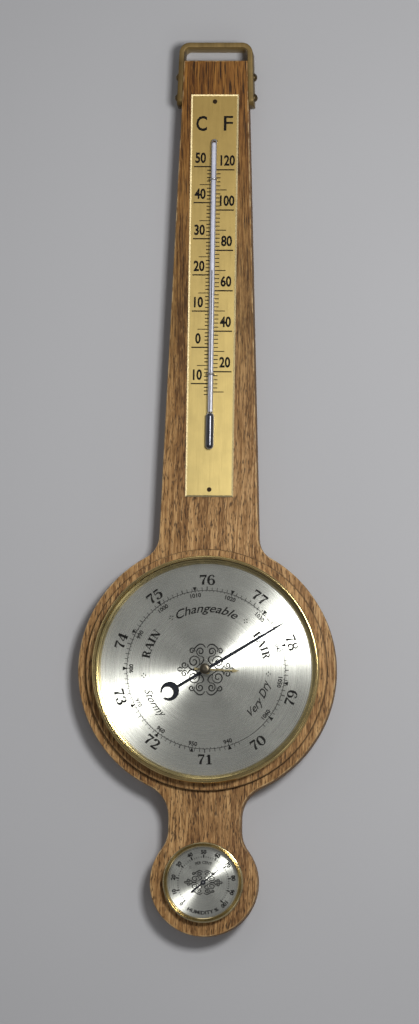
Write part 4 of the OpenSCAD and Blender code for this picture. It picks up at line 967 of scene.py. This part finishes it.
def makePlate():
    # a bevelled slab with its pin holes and the tube's hole; the bevel shows the bare cut metal
    p = plate
    left, right, low, high = -p["width"] / 2, p["width"] / 2, p["top"] - p["height"], p["top"]
    outline = np.array([[left, low], [right, low], [right, high], [left, high]])
    holes = [circle(0, z, radius, 32) for z, radius in (
        (high - p["pinInset"], p["pinHole"]), (low + p["pinInset"], p["pinHole"]), (p["tubeTop"], p["tubeHole"]))]
    parts = slab(outline, holes, p["back"], p["front"], p["bevel"], p["backRound"], 1, p["bevelDepth"])
    piece = makePiece("gold_plate", parts, goldMaterial(), creaseAngle=20)
    piece.data.materials.append(metalMaterial("cut edge", p["cutColour"], 0.2, tarnish=0.15, depth=0.000008))
    facing = meshRows(piece.data.polygons, "normal")[:, 1]
    cut = (facing > p["cutFacing"][0]) & (facing < p["cutFacing"][1])   # faces that turn to the front at a slant
    piece.data.polygons.foreach_set("material_index", cut.astype(np.int32))
    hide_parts("thermometer_plate")


# Each scale: its side, values of the marks, drop of the first mark below the plate's top, mm for a degree, steps with
# longer marks, lengths and widths of the marks, then values, x and foot of the numbers.
scales = [
    {"side": -1, "marks": (50, -14, -1), "drop": 46.1, "degree": 2.294, "steps": (10, 5), "lengths": (12.6, 8.8, 4.3),
     "widths": (0.8, 0.5, 0.64), "numbers": (50, -11, -10), "numberX": -8.5, "numberUp": 2.6},
    {"side": 1, "marks": (120, 9, -2), "drop": 48.1, "degree": 1.2805, "steps": (20, 10), "lengths": (12.9, 8.2, 4.2),
     "widths": (0.8, 0.55, 0.56), "numbers": (120, 19, -20), "numberX": 8.6, "numberUp": 2.9},
]
numberStyle = {"height": 6.1, "squeeze": 0.77, "weight": 0.032}
markStart = 1.45   # where the marks begin, from the middle of the tube


def platePrint():
    # marks go outwards from the tube, each value as far below the first mark as its degrees
    level, marks, signs = plate["front"], [], []
    for s in scales:
        def heightOf(values):
            return plate["top"] - s["drop"] - (s["marks"][0] - values) * s["degree"]

        values = np.arange(*s["marks"])
        lengths = graded(values, s["steps"], s["lengths"])
        ends = np.sort(np.broadcast_arrays(s["side"] * markStart, s["side"] * lengths), 0)
        marks.append(rulerTicks(heightOf(values), *ends, graded(values, s["steps"], s["widths"]), level))
        signs += [straightText(str(abs(value)), s["numberX"], heightOf(value) + s["numberUp"], level, **numberStyle)
                  for value in range(*s["numbers"])]
    for text, x, height, squeeze, weight in plate["letters"]:
        signs.append(straightText(text, x, plate["top"] - plate["letterDrop"], level, height, squeeze=squeeze,
                                  weight=weight))
    makePrint("plate_print", marks + signs)


makePlate()
platePrint()

tube = {"radius": 1.75, "bulb": 2.6, "bulbLow": -255.6, "bulbLength": 20.5, "level": 21.82, "top": -60.6,
        "bend": 2.35, "cone": 0.6, "end": 15.5, "middle": -150.0,
        "enamelRadius": 1.2, "enamelFlat": 0.34, "enamelBehind": 0.72,
        "enamel": (300, (0.52, 0.52, 0.60), (0.60, 0.60, 0.68), 0.25),
        # wall is the grey painted on the tube's sides as shade
        "clear": (0.97, 0.975, 0.98), "wall": (0.55, 0.55, 0.58), "roughness": 0.26, "index": 1.4}


def carriedCircle(path, radii, sides, flat=1.0, behind=0.0):
    # an ellipse of changing size is carried along a path in the plane x = 0, with flat as its depth over its width
    up = np.cross(unit(np.gradient(path, axis=0)), [1, 0, 0])
    turn = np.linspace(0, 2 * np.pi, sides, endpoint=False)
    radii = np.broadcast_to(radii, len(path))[:, None, None]
    points = path[:, None] + radii * np.cos(turn)[None, :, None] * np.array([1, 0, 0]) \
        + (behind + flat * radii * np.sin(turn)[None, :, None]) * up[:, None]
    return points, tubeFaces(len(path), sides)


def makeTube():
    # a bulb, a long straight stem, and a bend back through the plate; white enamel lies behind the bore
    t = tube
    low, neck = t["bulbLow"] + t["bulb"], t["bulbLow"] + t["bulbLength"]
    bottom = arcPoints(0, low, t["bulb"], -88, 0, 10)
    shoulder = arcPoints(0, neck, t["bulb"], 0, 50, 8)
    straight = [[t["radius"], z] for z in (neck + t["bulb"] + t["cone"], t["middle"], t["top"] - t["bend"])]
    profile = np.vstack([bottom, shoulder, straight])
    upright = [[-t["level"], z] for z in profile[:, 1]]
    bend = arcPoints(-(t["level"] - t["bend"]), t["top"] - t["bend"], t["bend"], 180, 90, 10)[1:]
    tail = [[-t["end"] - 1, t["top"]], [-t["end"], t["top"]]]
    path = np.insert(np.vstack([upright, bend, tail]), 0, 0, 1)
    radii = np.concatenate([profile[:, 0], np.full(len(bend) + 2, t["radius"])])
    piece = makePiece("glass_tube", [carriedCircle(path, radii, 28)], tubeGlass())
    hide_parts("thermometer_tube")
    inner = path[len(bottom) + len(shoulder):-1]
    enamel = carriedCircle(inner, t["enamelRadius"], 18, t["enamelFlat"], t["enamelBehind"])
    piece = makePiece("white_backing", [enamel], cloudyMaterial("white enamel", *t["enamel"])[0])


def cloudyMaterial(name, scale, dark, light, roughness):
    # noise between two tones; it gives the material, its tree and its shader
    material, tree, shader, place = newMaterial(name)
    tone = ramp(noise(place, scale), [(0.3, dark), (0.7, light)])
    setInputs(shader, {"Base Color": tone, "Roughness": roughness})
    return material, tree, shader


def tubeGlass():
    # clear in the middle, with painted shade in a diffuse grey towards the sides in place of the darker refraction
    # through a thick glass wall
    material, tree, shader, _ = newMaterial("tube glass")
    tree.nodes.remove(shader)
    clear = addNode("BsdfTransparent", {"Color": tube["clear"]}, tree=tree)
    wall = addNode("BsdfDiffuse", {"Color": tube["wall"]}, tree=tree)
    rim = ramp(addNode("LayerWeight", {"Blend": 0.5}, "Facing", tree), [(0.25, 0.0), (0.75, 0.75)])
    body = addNode("MixShader", {0: rim, 1: clear, 2: wall})
    gloss = addNode("BsdfGlossy", {"Roughness": tube["roughness"]}, tree=tree)
    mixSurface(addNode("Fresnel", {"IOR": tube["index"]}, tree=tree), body, gloss)
    return material


makeTube()
print("thermometer made")


silver, tin = (0.83, 0.82, 0.755), (0.46, 0.45, 0.42)
dialLook = {"pattern": "turned", "tarnish": 0.12, "anisotropy": 0.9, "grain": 1400.0, "depth": 0.00001}
finishes = [
    # material, the CAD nodes that get it, its colour and roughness, and what else differs from a plain metal
    ("screw brass", "strap_screws", (0.14, 0.10, 0.05), 0.4, {"tarnish": 0.4}),
    ("silvered dial", "dial_plate", silver, 0.27, {**dialLook, "centreZ": mainZ}),
    ("silvered small dial", "hygro_dial", silver, 0.27, {**dialLook, "centreZ": smallZ}),
    ("mercury", "thermometer_fill", (0.10, 0.10, 0.115), 0.34, {"tarnish": 0.3}),
    ("staple wire", "tube_staples", (0.62, 0.61, 0.60), 0.25, {"tarnish": 0.2}),
    ("dark pin", "plate_pins", (0.03, 0.02, 0.012), 0.45, {"tarnish": 0.3}),
    ("steel", "case_screws base_screws spring_screws main_lever connecting_link rocking_shaft pointer_arbor "
     "cock_screws adjusting_screw hygro_arbor hygro_post", (0.42, 0.42, 0.43), 0.3, {"pattern": "brushedAcross"}),
    ("cock brass", "base_plate capsule_nut spring_block shaft_cocks lower_cock upper_cock cock_pillars "
     "hairspring_stud hygro_bush hygro_bridge", (0.52, 0.38, 0.16), 0.33, {"pattern": "brushedAcross"}),
    ("nickel", "aneroid_capsule", (0.60, 0.59, 0.56), 0.25, {"pattern": "turned", "centreZ": mainZ, "tarnish": 0.2}),
    ("tinned case", "movement_case", tin, 0.4, {"pattern": "turned", "centreZ": mainZ, "tarnish": 0.3}),
    ("tinned small case", "hygro_case hygro_spacer", tin, 0.4,
     {"pattern": "turned", "centreZ": smallZ, "tarnish": 0.3}),
    ("blued steel", "reading_hand hygro_hand", (0.022, 0.024, 0.034), 0.3, {"tarnish": 0.3, "metallic": 0.8}),
    ("set brass", "set_hand", (0.44, 0.36, 0.19), 0.3, {"tarnish": 0.3}),
    ("knob brass", "set_knob", (0.088, 0.076, 0.056), 0.33, {"pattern": "turned", "centreZ": mainZ, "tarnish": 0.35}),
    ("pale fibre", "knob_washer", (0.55, 0.50, 0.38), 0.7, {"tarnish": 0.3, "metallic": 0.0}),
    ("coil strip", "hygro_coil", (0.55, 0.43, 0.25), 0.35, {}),
]
for name, names, colour, roughness, look in finishes:
    dressNodes(metalMaterial(name, colour, roughness, **look), *names.split())
springSteel = metalMaterial("spring steel", (0.20, 0.21, 0.25), 0.28, "brushedUp", tarnish=0.3)
dressNodes(springSteel, "mainspring", "hairspring")


def makeChain():
    # the chain as the CAD has it: its last links follow the shaft's arm and the rest stays taut to the arbor
    source = nodes["pull_chain"].data
    points = meshRows(source.vertices, "co") / mm
    corners = np.zeros(len(source.loops), np.int32)
    source.loops.foreach_get("vertex_index", corners)
    piece = makePiece("arbor_chain", [(points, corners.reshape(-1, 3))], springSteel, body=None)
    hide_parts("pull_chain")
    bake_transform(piece)


makeChain()
print("other nodes dressed, chain made")


room = {"wall": (0.40, 0.40, 0.41), "gap": 1.5, "floor": -1150.0, "curve": 400.0, "half": 2600.0, "depth": 3600.0,
        "top": 1500.0, "cloud": 3.0, "darker": 0.96, "roughness": 0.9, "specular": 0.1,
        "world": (0.62, 0.62, 0.63), "worldStrength": 0.345}


def makeRoom():
    # a wall just behind the board runs down through a quarter circle into the floor
    wallY = room["gap"]
    turn = np.radians(np.linspace(0, 90, 24))
    y = np.concatenate([[wallY], wallY - room["curve"] * (1 - np.cos(turn)), [wallY - room["depth"]]])
    z = np.concatenate([[room["top"]], room["floor"] + room["curve"] * (1 - np.sin(turn)), [room["floor"]]])
    x = np.linspace(-room["half"], room["half"], 3)
    points = np.stack(np.broadcast_arrays(x, y[:, None], z[:, None]), -1)
    mesh = newMesh("backdrop", points.reshape(-1, 3), gridFaces(len(y), 3, closeColumns=False).tolist())
    piece = newObject("backdrop", mesh)
    darker = tuple(room["darker"] * part for part in room["wall"])
    material, tree, shader = cloudyMaterial("pale wall", room["cloud"], darker, room["wall"], room["roughness"])
    setInputs(shader, {"Specular IOR Level": room["specular"]})
    behind = addNode("NewGeometry", {}, "Backfacing", tree)
    mixSurface(behind, shader.outputs[0], addNode("BsdfTransparent", {}, tree=tree))
    mesh.materials.append(material)
    piece.visible_shadow = False
    piece.visible_diffuse = False


lampTarget = (0, 0, -0.33)   # beside the neck's foot, in metres
lamps = [
    # name, degrees to the right and up as seen from the target, distance, width and height in metres, watts
    ("key", 19, 10, 0.95, 0.2, 0.2, 7.2),
    ("left", -74, 10, 1.6, 0.16, 1.3, 1.3),
    ("right", 66, 10, 1.6, 0.1, 1.3, 0.45),
    ("top", -4, 80, 1.7, 0.6, 0.16, 0.7),
    ("low", 25, -25, 1.7, 0.6, 0.6, 1.3),
    ("high", -10, 42, 1.7, 0.5, 0.5, 0.8),
    ("back", 200, 25, 2.4, 1.6, 1.6, 22.0),
]


def direction(right, up):
    # the unit vector at these degrees to the right of the front and upwards
    a, e = math.radians(right), math.radians(up)
    return Vector((math.sin(a) * math.cos(e), -math.cos(a) * math.cos(e), math.sin(e)))


def makeLamps():
    # each lamp stands at its distance and faces the target; the world adds an even pale light
    for name, right, up, distance, wide, tall, power in lamps:
        lamp = bpy.data.lights.new(name, "AREA")
        lamp.energy = power
        lamp.shape = "RECTANGLE"
        lamp.size = wide
        lamp.size_y = tall
        place = newObject(name, lamp)
        way = direction(right, up)
        place.location = Vector(lampTarget) + way * distance
        place.rotation_euler = way.to_track_quat("Z", "Y").to_euler()
    world = bpy.data.worlds.new("pale room")
    world.use_nodes = True
    background = world.node_tree.nodes["Background"]
    setInputs(background, {"Color": room["world"], "Strength": room["worldStrength"]})
    bpy.context.scene.world = world


view = {"azimuth": 4.324, "elevation": -5.599, "roll": 0.863, "distance": 2959.5, "lens": 166.55,
        "target": (0.489, -20.0, -294.9), "sensor": 36, "clipEnd": 100}


def makeCamera():
    # the camera stands back from its target along the view direction, then rolls about it
    back = direction(view["azimuth"], view["elevation"])
    turn, roll = math.radians(view["azimuth"]), math.radians(view["roll"])
    right = Vector((math.cos(turn), math.sin(turn), 0))
    up = back.cross(right)
    rolledRight = right * math.cos(roll) + up * math.sin(roll)
    rolledUp = up * math.cos(roll) - right * math.sin(roll)
    camera = bpy.data.cameras.new("camera")
    camera.lens = view["lens"]
    camera.sensor_width = view["sensor"]
    camera.clip_end = view["clipEnd"]
    holder = newObject("camera", camera)
    holder.matrix_world = Matrix((rolledRight, rolledUp, back)).transposed().to_4x4()
    holder.location = (Vector(view["target"]) + back * view["distance"]) * mm
    bpy.context.scene.camera = holder


makeRoom()
makeLamps()
makeCamera()
bpy.context.scene.view_settings.view_transform = "Standard"
print("stage, lamps and camera set")
